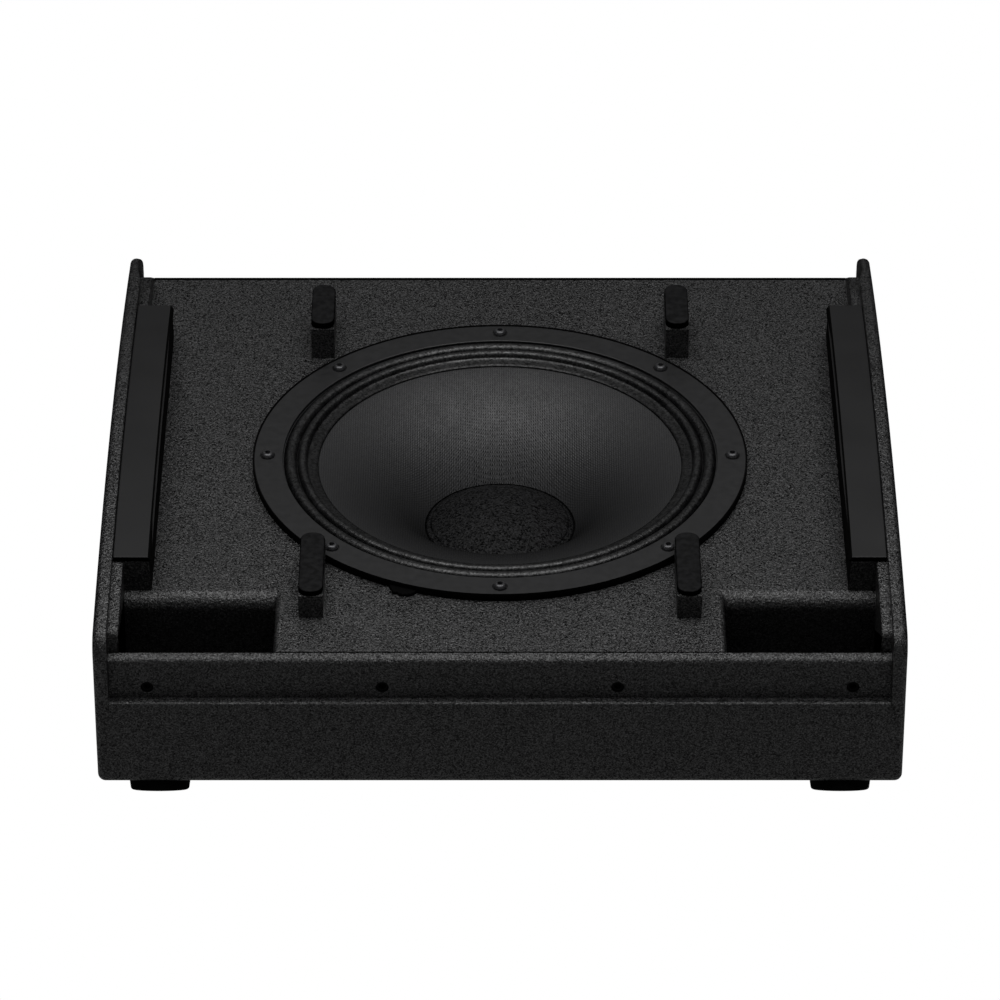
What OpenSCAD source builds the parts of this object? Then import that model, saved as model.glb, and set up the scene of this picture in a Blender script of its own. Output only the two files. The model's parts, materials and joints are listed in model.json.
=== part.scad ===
// Floor monitor wedge: plywood cabinet, 15-inch coaxial driver, two corner ports, grille taken off.
// Millimetres, +Z up, +X to the right as seen by the listener, +Y towards the rear.
// The origin is on the floor under the middle of the cabinet.
// Baffle coordinates: s runs up the baffle from the driver's centre, h stands up from the baffle's face.

/* [Cabinet] */
// Overall width
overall_w = 616; // [600:1:640]
// Height of the side panels' lips above the floor
overall_h = 416; // [412:1:424]
// Distance from the driver's centre back to the rear face
rear_reach = 272; // [266:1:290]
// Height of the driver's centre above the floor, on the baffle's face
driver_z = 250; // [248:1:254]
// Slope of the baffle above the horizontal, in degrees
baffle_angle = 32; // [31:0.5:33]
// Thickness of the plywood panels
panel_t = 18; // [17:0.5:19]
// Thickness of the baffle, which is also the radius of the ports' rounded edge
baffle_t = 24; // [22:1:26]
// Distance down the baffle from the driver's centre to the cabinet's front plane
front_reach = 282; // [278:1:286]
// Height at which the rear face turns in towards the floor
rear_break_z = 130; // [110:5:150]
// How far the bottom's rear edge stands in front of the rear face
rear_tuck = 100; // [80:5:120]

/* [Side lips] */
// Width of the outer lip of each side panel
lip_w = 9.8; // [8:0.1:11]
// Height of the lip above the ledge beside it
lip_step = 8; // [6:0.5:10]
// Height of the lip above the baffle at the driver's centre
lip_crown = 44; // [42:1:46]
// Radius of the lip's shallow arc
lip_arc_r = 1800; // [1600:50:2200]
// Radius of the lip's front corner
lip_corner_r = 14; // [8:1:18]
// Height of the lip's top above the top panel
lip_above_top = 16; // [12:1:20]

/* [Front rail] */
// Depth of the rail's face behind the front plane
rail_set = 8; // [6:0.5:9]
// Height of the rail's face
rail_h = 36; // [34:1:40]
// Distance of the grille screw holes below the baffle's face
grille_hole_drop = 26.2; // [22:0.2:28]
// Sideways distance of the outer grille screw holes from the middle
grille_hole_x = 269; // [262:1:274]

/* [Grille supports] */
// Width of the foam strips
strip_w = 27.4; // [24:0.2:28]
// Thickness of the foam strips
strip_t = 4.2; // [3:0.2:6]
// Distance of the strips' front ends from the driver's centre
strip_front = 182; // [170:1:184]
// Distance of the strips' rear ends from the driver's centre
strip_rear = 190; // [170:1:195]
// Width of the posts
post_w = 19; // [16:1:22]
// Sideways distance of the posts from the middle
post_x = 145.2; // [143:0.2:150]

/* [Ports] */
// Inner side of the port mouths
port_x = 173; // [170:1:185]
// Depth of the port mouths along the baffle
port_len = 72; // [60:1:74]
// Rounding of the port mouths' rear edge
port_edge_r = 12; // [8:1:16]
// How far the ducts reach below the baffle's face
duct_depth = 75; // [50:5:80]

/* [Driver] */
// Outer radius of the front ring
ring_r = 196.2; // [195:0.2:198]
// Inner radius of the front ring
ring_in_r = 173.2; // [172.6:0.2:174]
// Height of the front ring's face above the baffle
ring_top = 6.2; // [5.8:0.1:7]
// Radius of the bolt circle
bolt_r = 185.5; // [184:0.5:187]
// Travel of the cone each way
cone_travel = 8; // [4:1:8]

/* [Feet] */
// Radius of the feet
foot_r = 22.8; // [18:0.2:25]
// Height of the feet
foot_h = 8.5; // [6:0.5:10]
// Sideways distance of the feet from the middle
foot_x = 262.7; // [240:1:268]

/* [Hidden] */
$fn = 96;

// Gap left between pieces that only just miss each other
gap = 0.1;
// Thickness of a glue line between two boards
glue = 0.02;
half_w = overall_w / 2;
lip_x = half_w - lip_w;
inner_x = half_w - panel_t;
front_s = -front_reach;
joint_s = front_s + panel_t;
rail_s = front_s + rail_set;
top_z = overall_h - lip_above_top;
back_s = (top_z - driver_z) / sin(baffle_angle);
floor_panel_z = foot_h + panel_t;
ledge_corner_r = 6;
edge_r = 6.5;

// The cabinet is centred front to back on the origin, between the lip's front corner and the rear face
corner_s = front_s + lip_corner_r;
corner_h = crown_at(corner_s) - lip_corner_r;
front_y_reach = lip_corner_r - (corner_s * cos(baffle_angle) - corner_h * sin(baffle_angle));
driver_y = (front_y_reach - rear_reach) / 2;
rear_y = driver_y + rear_reach;
rear_foot_y = rear_y - rear_tuck;
tuck_dir = unit([rear_foot_y - rear_y, foot_h - rear_break_z]);
tuck_in = [tuck_dir[1], -tuck_dir[0]];

// Ports: the mouth's rear wall and the rounded edge above it
port_s = joint_s + port_len;
duct_wall = 9;

// Driver heights and radii, from the front ring down to the rear cover
gasket_t = 1.5;
flange_top = 3.6;
ring_under = 4.2;
cutout_r = 177;
screw_count = 8;
screw_r = 2.95;
screw_head_r = 5.25;
cone_bulge_r = 143;
cone_edge = [144.5, -2];
dome_rim = [60.4, -60.5];
dome_in_r = 55.5;
dome_rise = 24;
// Clearance under the dome's rim, which spans a bulged stretch of the cone
dome_lift = 0.15;
paper_t = 1.2;
neck_r = 51.2;
former_in_r = 50.4;
former_out_r = 51;
coil_out_r = 53;
gap_in_r = 49.8;
gap_out_r = 54.2;
plate_r = 98;
magnet_r = 105;
plate_top = -102;
plate_t = 10;
magnet_t = 20;
magnet_top = plate_top - plate_t;
yoke_top = magnet_top - magnet_t;
yoke_back = yoke_top - plate_t;
// The coil is longer than the gap by a little more than the travel
coil_len = plate_t + 1.25 * cone_travel;
coil_mid = plate_top - plate_t / 2;
spider_h = -85;
spider_out_r = 92;
throat_r = 12.7;
pole_bore_r = 22;
hf_flange_r = 50;
hf_pole_r = 21;
hf_gap_r = 23.4;
hf_plate_back = yoke_back - 28;
hf_cover_back = yoke_back - 50;

// The outside of the frame's sloping shell, from its foot to its lip, and the terminals on it
frame_foot = [106.5, -84.8];
frame_lip = [cutout_r - 1.5, -1];
terminal_r = 148;
terminal_h = -56;

// Grille posts: rear end and front end up the baffle, block height, pad thickness
upper_post = [217, 156, 28, 6.2];
lower_post = [-137, -219, 20, 5];

// Places of the crossover, connectors and handles
board = [-250, -70, floor_panel_z + 8];
board_size = [140, 160, 2];
connector_z = 200;
connector_recess = 8;
plate_size = [140, 2, 96];
plate_y = rear_y - connector_recess;
// How far in from the plate's sides and ends its screws stand
plate_screw_in = [7, 6];
socket_x = 30;
socket_len = 28;
socket_size = [26, 31, 3];
socket_screw = [9.5, 12];
handle_y = driver_y + 120;
handle_z = 190;
handle_size = [158, 88];
handle_depth = 48;
handle_flange = 14;
handle_rebate = 4.5;
sheet_t = 2.5;

function unit(v) = v / norm(v);

// Points of the arc of radius r that rounds the corner b between a and c
function fillet(a, b, c, r, n = 8) =
    let (
        u = unit(a - b),
        v = unit(c - b),
        half = acos(u * v) / 2,
        mid = b + unit(u + v) * r / sin(half),
        first = b + u * r / tan(half) - mid,
        last = b + v * r / tan(half) - mid,
        start = atan2(first[1], first[0]),
        turn = atan2(last[1], last[0]) - start,
        sweep = turn > 180 ? turn - 360 : turn < -180 ? turn + 360 : turn
    )
    [for (k = [0:n]) mid + r * [cos(start + sweep * k / n), sin(start + sweep * k / n)]];

// A polygon whose corners have the given radii, where 0 leaves a corner sharp
function rounded(pts, radii) =
    let (count = len(pts))
    [for (i = [0:count - 1])
        each (radii[i] > 0
            ? fillet(pts[(i + count - 1) % count], pts[i], pts[(i + 1) % count], radii[i])
            : [pts[i]])];

function rect_pts(w, d) = [[-w / 2, -d / 2], [w / 2, -d / 2], [w / 2, d / 2], [-w / 2, d / 2]];
function rounded_rect(w, d, r) = rounded(rect_pts(w, d), [r, r, r, r]);

// (y, z) of a point given in baffle coordinates
function at(s, h) = [
    driver_y + s * cos(baffle_angle) - h * sin(baffle_angle),
    driver_z + s * sin(baffle_angle) + h * cos(baffle_angle)
];

// Height h on the line of constant s where z has the given value
function h_at_z(s, z) = (z - driver_z - s * sin(baffle_angle)) / cos(baffle_angle);

// Height of the lip's arc above the baffle
function crown_at(s) = lip_crown - s * s / (2 * lip_arc_r);

// Where the arc, lowered by drop, reaches the level z
function crown_s_at_z(z, drop) =
    let (
        bend = cos(baffle_angle) / (2 * lip_arc_r),
        rise = z - driver_z - (lip_crown - drop) * cos(baffle_angle),
        slope = sin(baffle_angle)
    )
    (slope - sqrt(slope * slope - 4 * bend * rise)) / (2 * bend);

// Points along the arc, lowered by drop
function crown_line(from, to, drop, count = 12) =
    [for (k = [0:count]) let (s = from + (to - from) * k / count) at(s, crown_at(s) - drop)];

function zeros(n) = [for (k = [1:n]) 0];

// Outline of the outer layer of a side panel
function lip_outline() =
    let (
        top_s = crown_s_at_z(overall_h, 0),
        arc = crown_line(front_s + 40, top_s - 40, 0),
        pts = concat(
            [at(front_s, h_at_z(front_s, foot_h)), at(front_s, crown_at(front_s))],
            arc,
            [at(top_s, crown_at(top_s)), [rear_y, overall_h]],
            [[rear_y, rear_break_z], [rear_foot_y, foot_h]]
        )
    )
    rounded(pts, concat([edge_r, lip_corner_r], zeros(len(arc)), [10, 12, edge_r, edge_r]));

// Outline of the inner layer, which carries the ledge and stands back behind the rail
function ledge_outline() =
    let (
        top_s = crown_s_at_z(top_z, lip_step),
        arc = crown_line(joint_s + 30, top_s, lip_step),
        pts = concat(
            [at(front_s, h_at_z(front_s, foot_h)), at(front_s, -rail_h), at(joint_s, -rail_h)],
            [at(joint_s, crown_at(joint_s) - lip_step)],
            arc,
            [[rear_y, top_z], [rear_y, rear_break_z], [rear_foot_y, foot_h]]
        )
    )
    rounded(pts, concat([edge_r, 0, 0, ledge_corner_r], zeros(len(arc)), [edge_r, edge_r, edge_r]));

// Puts a shape drawn in baffle coordinates in its place
module on_baffle() {
    translate([0, driver_y, driver_z]) rotate([baffle_angle, 0, 0]) children();
}

// A slab across the cabinet between two x places, with a (y, z) outline, or an (s, h) one within on_baffle
module slab(pts, from_x, to_x) {
    translate([from_x, 0, 0]) rotate([90, 0, 90]) linear_extrude(to_x - from_x) polygon(pts);
}

module ring(in_r, out_r, from_h, to_h) {
    translate([0, 0, from_h]) difference() {
        cylinder(r = out_r, h = to_h - from_h);
        translate([0, 0, -1]) cylinder(r = in_r, h = to_h - from_h + 2);
    }
}

module turned(pts) {
    rotate_extrude() polygon(pts);
}

module around(count, r, turn = 0) {
    for (k = [0:count - 1]) rotate([0, 0, turn + 360 * k / count]) translate([r, 0, 0]) children();
}

module both_sides(x) {
    for (side = [-1, 1]) translate([side * x, 0, 0]) children();
}

// ---- Cabinet ----

module side_panel_solid() {
    difference() {
        union() {
            slab(lip_outline(), lip_x, half_w);
            slab(ledge_outline(), inner_x, lip_x + lip_w / 2);
        }
        handle_plate(0, handle_depth, handle_depth + 1);
        handle_plate(handle_flange, handle_rebate, handle_rebate + 1);
        handle_screw_places() translate([0, 0, -13]) cylinder(r = 1.75, h = 13, $fn = 24);
    }
}

module side_panel_right() {
    color("#1b1b1c") side_panel_solid();
}

module side_panel_left() {
    color("#1b1b1c") mirror([1, 0, 0]) side_panel_solid();
}

// The rounded port mouth, cut out of the baffle's front corner
module port_mouth_cut() {
    r = port_edge_r;
    edge = [for (k = [0:12]) let (a = 90 + 90 * k / 12) [port_s + r + r * cos(a), r * sin(a) - r]];
    outline = concat([[port_s + r, 1]], edge, [[port_s, -baffle_t - 1]],
        [[joint_s - 1, -baffle_t - 1], [joint_s - 1, 1]]);
    slab(outline, port_x, inner_x + 1);
}

module baffle() {
    color("#1d1d1e") on_baffle() difference() {
        translate([-inner_x, joint_s, -baffle_t]) cube([2 * inner_x, back_s - joint_s, baffle_t]);
        translate([0, 0, -baffle_t - 1]) cylinder(r = cutout_r, h = baffle_t + 2);
        around(screw_count, bolt_r, 90) translate([0, 0, -baffle_t - 1])
            cylinder(r = 4.2, h = baffle_t + 2);
        port_mouth_cut();
        mirror([1, 0, 0]) port_mouth_cut();
    }
}

module grille_holes(r, from_s, to_s) {
    for (k = [-3, -1, 1, 3])
        translate([k * grille_hole_x / 3, to_s, -grille_hole_drop]) rotate([90, 0, 0])
            cylinder(r = r, h = to_s - from_s, $fn = 48);
}

module front_rail() {
    rail_r = joint_s - rail_s - 0.5;
    low_h = glue - rail_h;
    function face(back) = rounded([[rail_s, low_h], [back, low_h], [back, 0], [rail_s, 0]],
        [0, 0, 0, rail_r]);
    backing = [[joint_s, -rail_h - 24], [joint_s + panel_t, -rail_h - 24],
        [joint_s + panel_t, -baffle_t], [joint_s, -baffle_t]];
    color("#1b1b1c") on_baffle() difference() {
        union() {
            slab(face(joint_s - glue), glue - lip_x, lip_x - glue);
            slab(face(joint_s), glue - inner_x, inner_x - glue);
            slab(backing, duct_wall - port_x, port_x - duct_wall);
        }
        grille_holes(4.2, rail_s - 1, joint_s);
        grille_holes(3.4, rail_s, joint_s + 10);
    }
}

module grille_inserts() {
    color("#b9a15a") on_baffle() difference() {
        grille_holes(4.15, rail_s + 1.5, joint_s - 0.5);
        grille_holes(3, rail_s, joint_s + 1);
    }
}

module lower_front_panel() {
    low_h = h_at_z(front_s, foot_h);
    pts = [at(front_s, low_h), at(joint_s, h_at_z(joint_s, foot_h)), at(joint_s, -rail_h),
        at(front_s, -rail_h)];
    color("#1b1b1c") slab(rounded(pts, [edge_r, 0, 0, 2.5]), -inner_x, inner_x);
}

// Where the line of the tucked-in rear face, moved inwards by inset, has the height z
function tuck_at(z, inset) =
    let (p = [rear_y, rear_break_z] + tuck_in * inset)
    [p[0] + (z - p[1]) * tuck_dir[0] / tuck_dir[1], z];

module bottom_panel() {
    low_s = joint_s + glue;
    pts = [at(low_s, h_at_z(low_s, foot_h)), [rear_foot_y, foot_h], tuck_at(floor_panel_z, 0),
        at(low_s, h_at_z(low_s, floor_panel_z))];
    color("#1b1b1c") difference() {
        slab(pts, -inner_x, inner_x);
        foot_places() translate([0, 0, foot_h - 1]) cylinder(r = 2.5, h = 16, $fn = 24);
    }
}

module rear_lower_panel() {
    pts = [tuck_at(floor_panel_z, 0), [rear_y, rear_break_z], tuck_at(rear_break_z, panel_t),
        tuck_at(floor_panel_z, panel_t)];
    color("#1b1b1c") slab(pts, -inner_x, inner_x);
}

module rear_panel() {
    color("#1b1b1c") difference() {
        translate([-inner_x, rear_y - panel_t, rear_break_z])
            cube([2 * inner_x, panel_t, top_z - panel_t - rear_break_z]);
        translate([-plate_size[0] / 2 + 14, rear_y - panel_t - 1, connector_z - plate_size[2] / 2 + 12])
            cube([plate_size[0] - 28, panel_t + 2, plate_size[2] - 24]);
        translate([-plate_size[0] / 2 - 0.5, plate_y, connector_z - plate_size[2] / 2 - 0.5])
            cube([plate_size[0] + 1, panel_t, plate_size[2] + 1]);
        plate_screw_places() translate([0, 0, -9.5]) cylinder(r = 1.65, h = 9.5, $fn = 24);
    }
}

module top_panel() {
    under_h = -panel_t / cos(baffle_angle);
    pts = [at(back_s + glue, 0), [rear_y, top_z], [rear_y, top_z - panel_t], at(back_s + glue, under_h)];
    color("#1b1b1c") slab(rounded(pts, [0, edge_r, 0, 0]), -inner_x, inner_x);
}

module port_duct_solid() {
    color("#181819") on_baffle() {
        translate([port_x - duct_wall, port_s, -duct_depth])
            cube([inner_x - port_x + duct_wall, duct_wall, duct_depth - baffle_t]);
        translate([port_x - duct_wall, joint_s, -duct_depth])
            cube([duct_wall, port_len + duct_wall, duct_depth - baffle_t]);
    }
}

module port_duct_right() {
    port_duct_solid();
}

module port_duct_left() {
    mirror([1, 0, 0]) port_duct_solid();
}

module cross_brace() {
    color("#8a6a45") translate([-inner_x, rear_y - panel_t - 46, 150]) cube([2 * inner_x, panel_t, 46]);
}

// ---- Grille supports ----

// A bar that follows the lip's arc, between two heights measured down from the lip
module arched_bar(from_x, to_x, bottom, drop_top) {
    count = 12;
    line = [for (k = [0:count]) let (s = -strip_front + (strip_front + strip_rear) * k / count)
        [s, crown_at(s) - drop_top]];
    under = [for (k = [count:-1:0]) [line[k][0], bottom < 0 ? 0 : line[k][1] - bottom]];
    on_baffle() slab(concat(line, under), from_x, to_x);
}

module grille_cleat_right() {
    color("#1b1b1c") arched_bar(lip_x - strip_w + 1, inner_x, -1, lip_step);
}

module grille_cleat_left() {
    mirror([1, 0, 0]) grille_cleat_right();
}

module grille_strip_right() {
    color("#262627") arched_bar(lip_x - strip_w - gap, lip_x - gap, strip_t, lip_step - strip_t - gap);
}

module grille_strip_left() {
    mirror([1, 0, 0]) grille_strip_right();
}

// The lower blocks are scooped where they would meet the driver's flange
module post_blocks() {
    color("#1b1b1c") on_baffle() difference() {
        both_sides(post_x) for (p = [upper_post, lower_post])
            translate([-post_w / 2, p[1], 0]) cube([post_w, p[0] - p[1], p[2]]);
        translate([0, 0, -1]) cylinder(r = ring_r + 5 * gap, h = lower_post[2] + 2);
    }
}

module post_pads() {
    color("#202021") on_baffle() both_sides(post_x) for (p = [upper_post, lower_post])
        translate([0, (p[0] + p[1]) / 2, p[2] + gap])
            linear_extrude(p[3]) polygon(rounded_rect(post_w, p[0] - p[1], post_w / 2 - 0.2));
}

// ---- Driver ----

module screw_holes(r, from_h, to_h) {
    around(screw_count, bolt_r, 90) translate([0, 0, from_h]) cylinder(r = r, h = to_h - from_h, $fn = 48);
}

module baffle_gasket() {
    tab_w = 18;
    color("#111112") on_baffle() difference() {
        union() {
            ring(cutout_r + 1, ring_r - 1, 0, gasket_t);
            rotate([0, 0, -112.5]) translate([bolt_r + 5, -tab_w / 2, 0]) cube([11, tab_w, gasket_t]);
        }
        screw_holes(3.4, -1, gasket_t + 1);
    }
}

// Pressed basket: flange, windowed cone of arms, and the seats for the spider and the motor
module driver_frame() {
    arms = 8;
    shell = [[ring_r - 1.2, gasket_t], [ring_r - 1.2, flange_top], [ring_in_r - 0.6, flange_top],
        [ring_in_r - 0.6, 0], [104, -84], [104, spider_h - 3], [spider_out_r - 6, spider_h - 3],
        [spider_out_r - 6, spider_h - 5.5], [96, spider_h - 5.5], [96, plate_top + 3], [66, plate_top + 3],
        [66, plate_top], [99, plate_top], frame_foot, frame_lip, [frame_lip[0], gasket_t]];
    color("#1f1f20") on_baffle() difference() {
        turned(shell);
        for (k = [0:arms - 1]) rotate([0, 0, 22.5 + 360 * k / arms]) translate([0, 0, -80])
            linear_extrude(62) polygon([[60, 0], [cutout_r, -46], [cutout_r + 30, 0], [cutout_r, 46]]);
        screw_holes(3.3, -1, flange_top + 1);
    }
}

module front_ring() {
    color("#2b2b2d") on_baffle() difference() {
        turned([[ring_in_r, ring_under], [ring_r, ring_under], [ring_r, ring_top - 0.6],
            [ring_r - 0.6, ring_top], [ring_in_r + 0.6, ring_top], [ring_in_r, ring_top - 0.6]]);
        screw_holes(3.3, 0, ring_top + 1);
    }
}

// Button-head screw with a hexagon socket, the head's underside at height 0
module button_screw(head_r, head_h, shaft_r, shaft_l, socket_r) {
    dome = [for (k = [0:6]) let (a = 90 * k / 6)
        [head_r * (0.42 + 0.58 * cos(a)), head_h * (0.2 + 0.8 * sin(a))]];
    difference() {
        turned(concat([[0, -shaft_l], [shaft_r, -shaft_l], [shaft_r, 0], [head_r, 0]],
            dome, [[0, head_h]]));
        translate([0, 0, head_h * 0.35]) cylinder(r = socket_r, h = head_h, $fn = 6);
    }
}

module driver_screws() {
    color("#2a2a2c") on_baffle() around(screw_count, bolt_r, 90)
        translate([0, 0, ring_top]) button_screw(screw_head_r, 3.3, screw_r, ring_top + baffle_t + 4, 2.3);
}

module tee_nuts() {
    color("#9a9a98") on_baffle() around(screw_count, bolt_r, 90)
        turned([[3, -baffle_t - 1.6], [9.5, -baffle_t - 1.6], [9.5, -baffle_t], [4.1, -baffle_t],
            [4.1, -baffle_t + 14], [3, -baffle_t + 14]]);
}

// Two half-round rolls, side by side: a cloth edge from the frame to the cone
function roll(mid_r, half, base, height, n) =
    [for (k = [0:n]) let (a = 180 - 180 * k / n) [mid_r + half * cos(a), base + height * sin(a)]];

module surround() {
    skin = 0.6;
    base = 2.4;
    top = concat([[cone_edge[0] + 0.4, 1], [153.4, base]], roll(157.7, 3.8, base, 4, 8),
        roll(167.2, 4.8, base, 4.4, 10), [[172.4, flange_top + skin], [190, flange_top + skin]]);
    under = [for (k = [len(top) - 1:-1:0]) [top[k][0], top[k][1] - skin + 0.02]];
    color("#232325") on_baffle() difference() {
        turned(concat(top, under));
        screw_holes(3.4, 0, 10);
    }
}

// The cone's face is an arc that bulges forward between the dome's rim and the edge
function cone_arc() =
    let (
        chord = cone_edge - dome_rim,
        mid = (cone_edge + dome_rim) / 2,
        out = unit([-chord[1], chord[0]]),
        reach = sqrt(cone_bulge_r * cone_bulge_r - chord * chord / 4)
    )
    mid - out * reach;

function cone_h(r) = let (c = cone_arc()) c[1] + sqrt(pow(cone_bulge_r, 2) - pow(r - c[0], 2));

module cone() {
    count = 20;
    outer = 152.6;
    face = [for (k = [0:count]) let (r = neck_r + (outer - neck_r) * k / count) [r, cone_h(r)]];
    back = [for (k = [count:-1:0]) [face[k][0], face[k][1] - paper_t]];
    color("#2e2e30") on_baffle() turned(concat(face, back));
}

module dust_dome() {
    count = 12;
    skin = 0.8;
    seat_h = cone_h(dome_in_r) + 2.5;
    dome_r = (dome_in_r * dome_in_r + dome_rise * dome_rise) / (2 * dome_rise);
    edge_a = asin(dome_in_r / dome_r);
    function cap(r, extra) = [for (k = [0:count]) let (a = edge_a * k / count)
        [r * sin(a), seat_h + dome_rise - dome_r + extra + r * cos(a)]];
    outside = cap(dome_r, 0);
    inside = cap(dome_r - skin, 0);
    rim = [[dome_in_r + 0.6, seat_h + 1], [dome_rim[0], cone_h(dome_rim[0]) + 1.2],
        [dome_rim[0], cone_h(dome_rim[0]) + dome_lift],
        [dome_in_r - 1, cone_h(dome_in_r - 1) + dome_lift]];
    color("#161617") on_baffle() turned(concat(outside, rim, [for (k = [count:-1:0]) inside[k]]));
}

module coil_former() {
    color("#b98a3a") on_baffle()
        ring(former_in_r, former_out_r, coil_mid - coil_len / 2 - 2, cone_h(neck_r) + 1);
}

module voice_coil() {
    color("#b4682d") on_baffle()
        ring(former_out_r + glue, coil_out_r, coil_mid - coil_len / 2, coil_mid + coil_len / 2);
}

module spider() {
    waves = 5;
    steps = 6 * waves;
    skin = 0.5;
    from_r = former_out_r + 0.1;
    wave = [for (k = [0:steps]) let (r = from_r + 2 + (spider_out_r - 4 - from_r - 2) * k / steps)
        [r, spider_h + 1.6 * sin(360 * waves * k / steps)]];
    top = concat([[from_r, spider_h]], wave, [[spider_out_r + 3, spider_h]]);
    under = [for (k = [len(top) - 1:-1:0]) [top[k][0], top[k][1] - skin]];
    color("#a5803c") on_baffle() turned(concat(top, under));
}

module top_plate() {
    color("#3a3a3c") on_baffle() ring(gap_out_r, plate_r, magnet_top, plate_top);
}

module magnet_ring() {
    color("#2a2a2a") on_baffle() ring(62, magnet_r, yoke_top, magnet_top);
}

module yoke() {
    color("#3a3a3c") on_baffle() turned([[pole_bore_r, yoke_back], [plate_r, yoke_back],
        [plate_r, yoke_top], [gap_in_r, yoke_top], [gap_in_r, plate_top], [pole_bore_r, plate_top]]);
}

// ---- High-frequency unit, on the driver's axis behind the yoke ----

module hf_horn() {
    mouth_h = -80;
    skin = 1.6;
    flare = [for (k = [0:8]) let (t = k / 8)
        [throat_r + (44 - throat_r) * pow(t, 1.8), yoke_back + (mouth_h - yoke_back) * (0.35 + 0.65 * t)]];
    color("#151516") on_baffle() turned(concat([[throat_r, yoke_back]], flare,
        [[47, mouth_h], [47, mouth_h - skin], [24, plate_top + gap], [pole_bore_r - gap, plate_top + gap],
        [pole_bore_r - gap, yoke_back]]));
}

module hf_pole_piece() {
    color("#3a3a3c") on_baffle() turned([[throat_r, hf_plate_back], [hf_pole_r, hf_plate_back],
        [hf_pole_r, yoke_back - 8], [hf_flange_r, yoke_back - 8], [hf_flange_r, yoke_back],
        [throat_r, yoke_back]]);
}

module hf_magnet() {
    color("#2a2a2a") on_baffle() ring(27, hf_flange_r - 2, yoke_back - 22, yoke_back - 8);
}

module hf_top_plate() {
    color("#3a3a3c") on_baffle() ring(hf_gap_r, hf_flange_r - 4, hf_plate_back, yoke_back - 22);
}

module hf_phase_plug() {
    plug_r = 8;
    color("#4a4a4c") on_baffle() {
        turned([[0, hf_plate_back], [plug_r, hf_plate_back], [plug_r, hf_plate_back + 6],
            [0, hf_plate_back + 22]]);
        for (a = [0, 120, 240]) rotate([0, 0, a])
            translate([plug_r - 1, -0.75, hf_plate_back]) cube([throat_r - plug_r + 0.9, 1.5, 6]);
    }
}

module hf_diaphragm() {
    count = 8;
    skin = 0.3;
    edge_h = hf_plate_back - 1.4;
    rise = 8;
    cap = [for (k = [0:count]) let (t = k / count) [22.4 * t, edge_h - rise * (1 - t * t)]];
    back = [for (k = [count:-1:0]) [cap[k][0], cap[k][1] - skin]];
    color("#8f9194") on_baffle() turned(concat(cap, [[30, edge_h], [30, edge_h - skin]], back));
}

module hf_coil() {
    color("#b4682d") on_baffle() ring(21.6, 22.4, hf_plate_back - 1.35, hf_plate_back + 7);
}

module hf_cover() {
    wall = 2;
    color("#1c1c1d") on_baffle() difference() {
        turned([[0, hf_cover_back], [hf_flange_r - 6, hf_cover_back], [hf_flange_r, hf_cover_back + 6],
            [hf_flange_r, yoke_back - 8 - gap], [0, yoke_back - 8 - gap]]);
        turned([[0, hf_cover_back + wall], [hf_flange_r - 7, hf_cover_back + wall],
            [hf_flange_r - wall + 0.5, hf_cover_back + 7], [hf_flange_r - wall + 0.5, 0], [0, 0]]);
    }
}

// Terminal block on the outside of the frame's left arm, with two push-on tabs
module driver_terminals() {
    block = [12, 32, 20];
    tab = [0.8, 6, 10];
    color("#c0a060") on_baffle() difference() {
        translate([-terminal_r - block[0] / 2, 0, terminal_h]) {
            translate([0, -block[1] / 2, 0]) cube(block);
            for (y = [-9, 9]) translate([(block[0] - tab[0]) / 2, y - tab[1] / 2, -tab[2]]) cube(tab);
        }
        turned([[0, frame_foot[1] - 1], [frame_foot[0], frame_foot[1] - 1], frame_foot, frame_lip,
            [0, frame_lip[1]]]);
    }
}

// ---- Crossover and wiring ----

module board_corners(inset) {
    for (x = [inset, board_size[0] - inset], y = [inset, board_size[1] - inset])
        translate([board[0] + x, board[1] + y, 0]) children();
}

module crossover_board() {
    color("#2f5a35") difference() {
        translate(board) cube(board_size);
        board_corners(8) translate([0, 0, board[2] - 1]) cylinder(r = 2, h = 5, $fn = 32);
    }
}

module crossover_standoffs() {
    color("#d8d2b8") board_corners(8) {
        translate([0, 0, floor_panel_z]) cylinder(r = 4, h = 8, $fn = 32);
        translate([0, 0, floor_panel_z + 8]) cylinder(r = 1.9, h = board_size[2], $fn = 32);
        translate([0, 0, floor_panel_z + 8 + board_size[2]]) cylinder(r = 3.2, h = 2, $fn = 32);
    }
}

module on_board(x, y) {
    translate([board[0] + x, board[1] + y, board[2] + board_size[2]]) children();
}

module inductors() {
    color("#b4682d") for (y = [42, 112]) on_board(42, y) ring(14, 27, 0, 24);
}

module capacitors() {
    color("#caa73b") for (y = [30, 62, 94]) on_board(82, y) translate([0, 0, 11])
        rotate([0, 90, 0]) cylinder(r = 11, h = 42, $fn = 48);
}

module resistors() {
    color("#e2ddcf") for (y = [122, 140]) on_board(82, y) cube([44, 10, 10]);
}

// A round cable through a list of points
module cable(pts, r) {
    for (k = [0:len(pts) - 2]) {
        run = pts[k + 1] - pts[k];
        translate(pts[k]) rotate([0, acos(run[2] / norm(run)), atan2(run[1], run[0])])
            cylinder(r = r, h = norm(run), $fn = 24);
    }
    for (k = [1:len(pts) - 2]) translate(pts[k]) sphere(r = 1.15 * r, $fn = 24);
}

module internal_wiring() {
    cable_r = 3;
    socket_back = plate_y + plate_size[1] - socket_len;
    board_top = board[2] + board_size[2] + cable_r;
    color("#7c1f1f") {
        cable([[-socket_x, socket_back, connector_z], [-socket_x, socket_back - 4, connector_z],
            [-socket_x, socket_back - 4, rear_break_z + 6], [-180, 120, 60], [-180, 80, board_top]],
            cable_r);
        cable([[-244, -40, board_top], [-250, -40, 70], [-230, 10, 130],
            concat([-terminal_r], at(0, terminal_h - 14))], cable_r);
    }
}

// ---- Connectors ----

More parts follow.
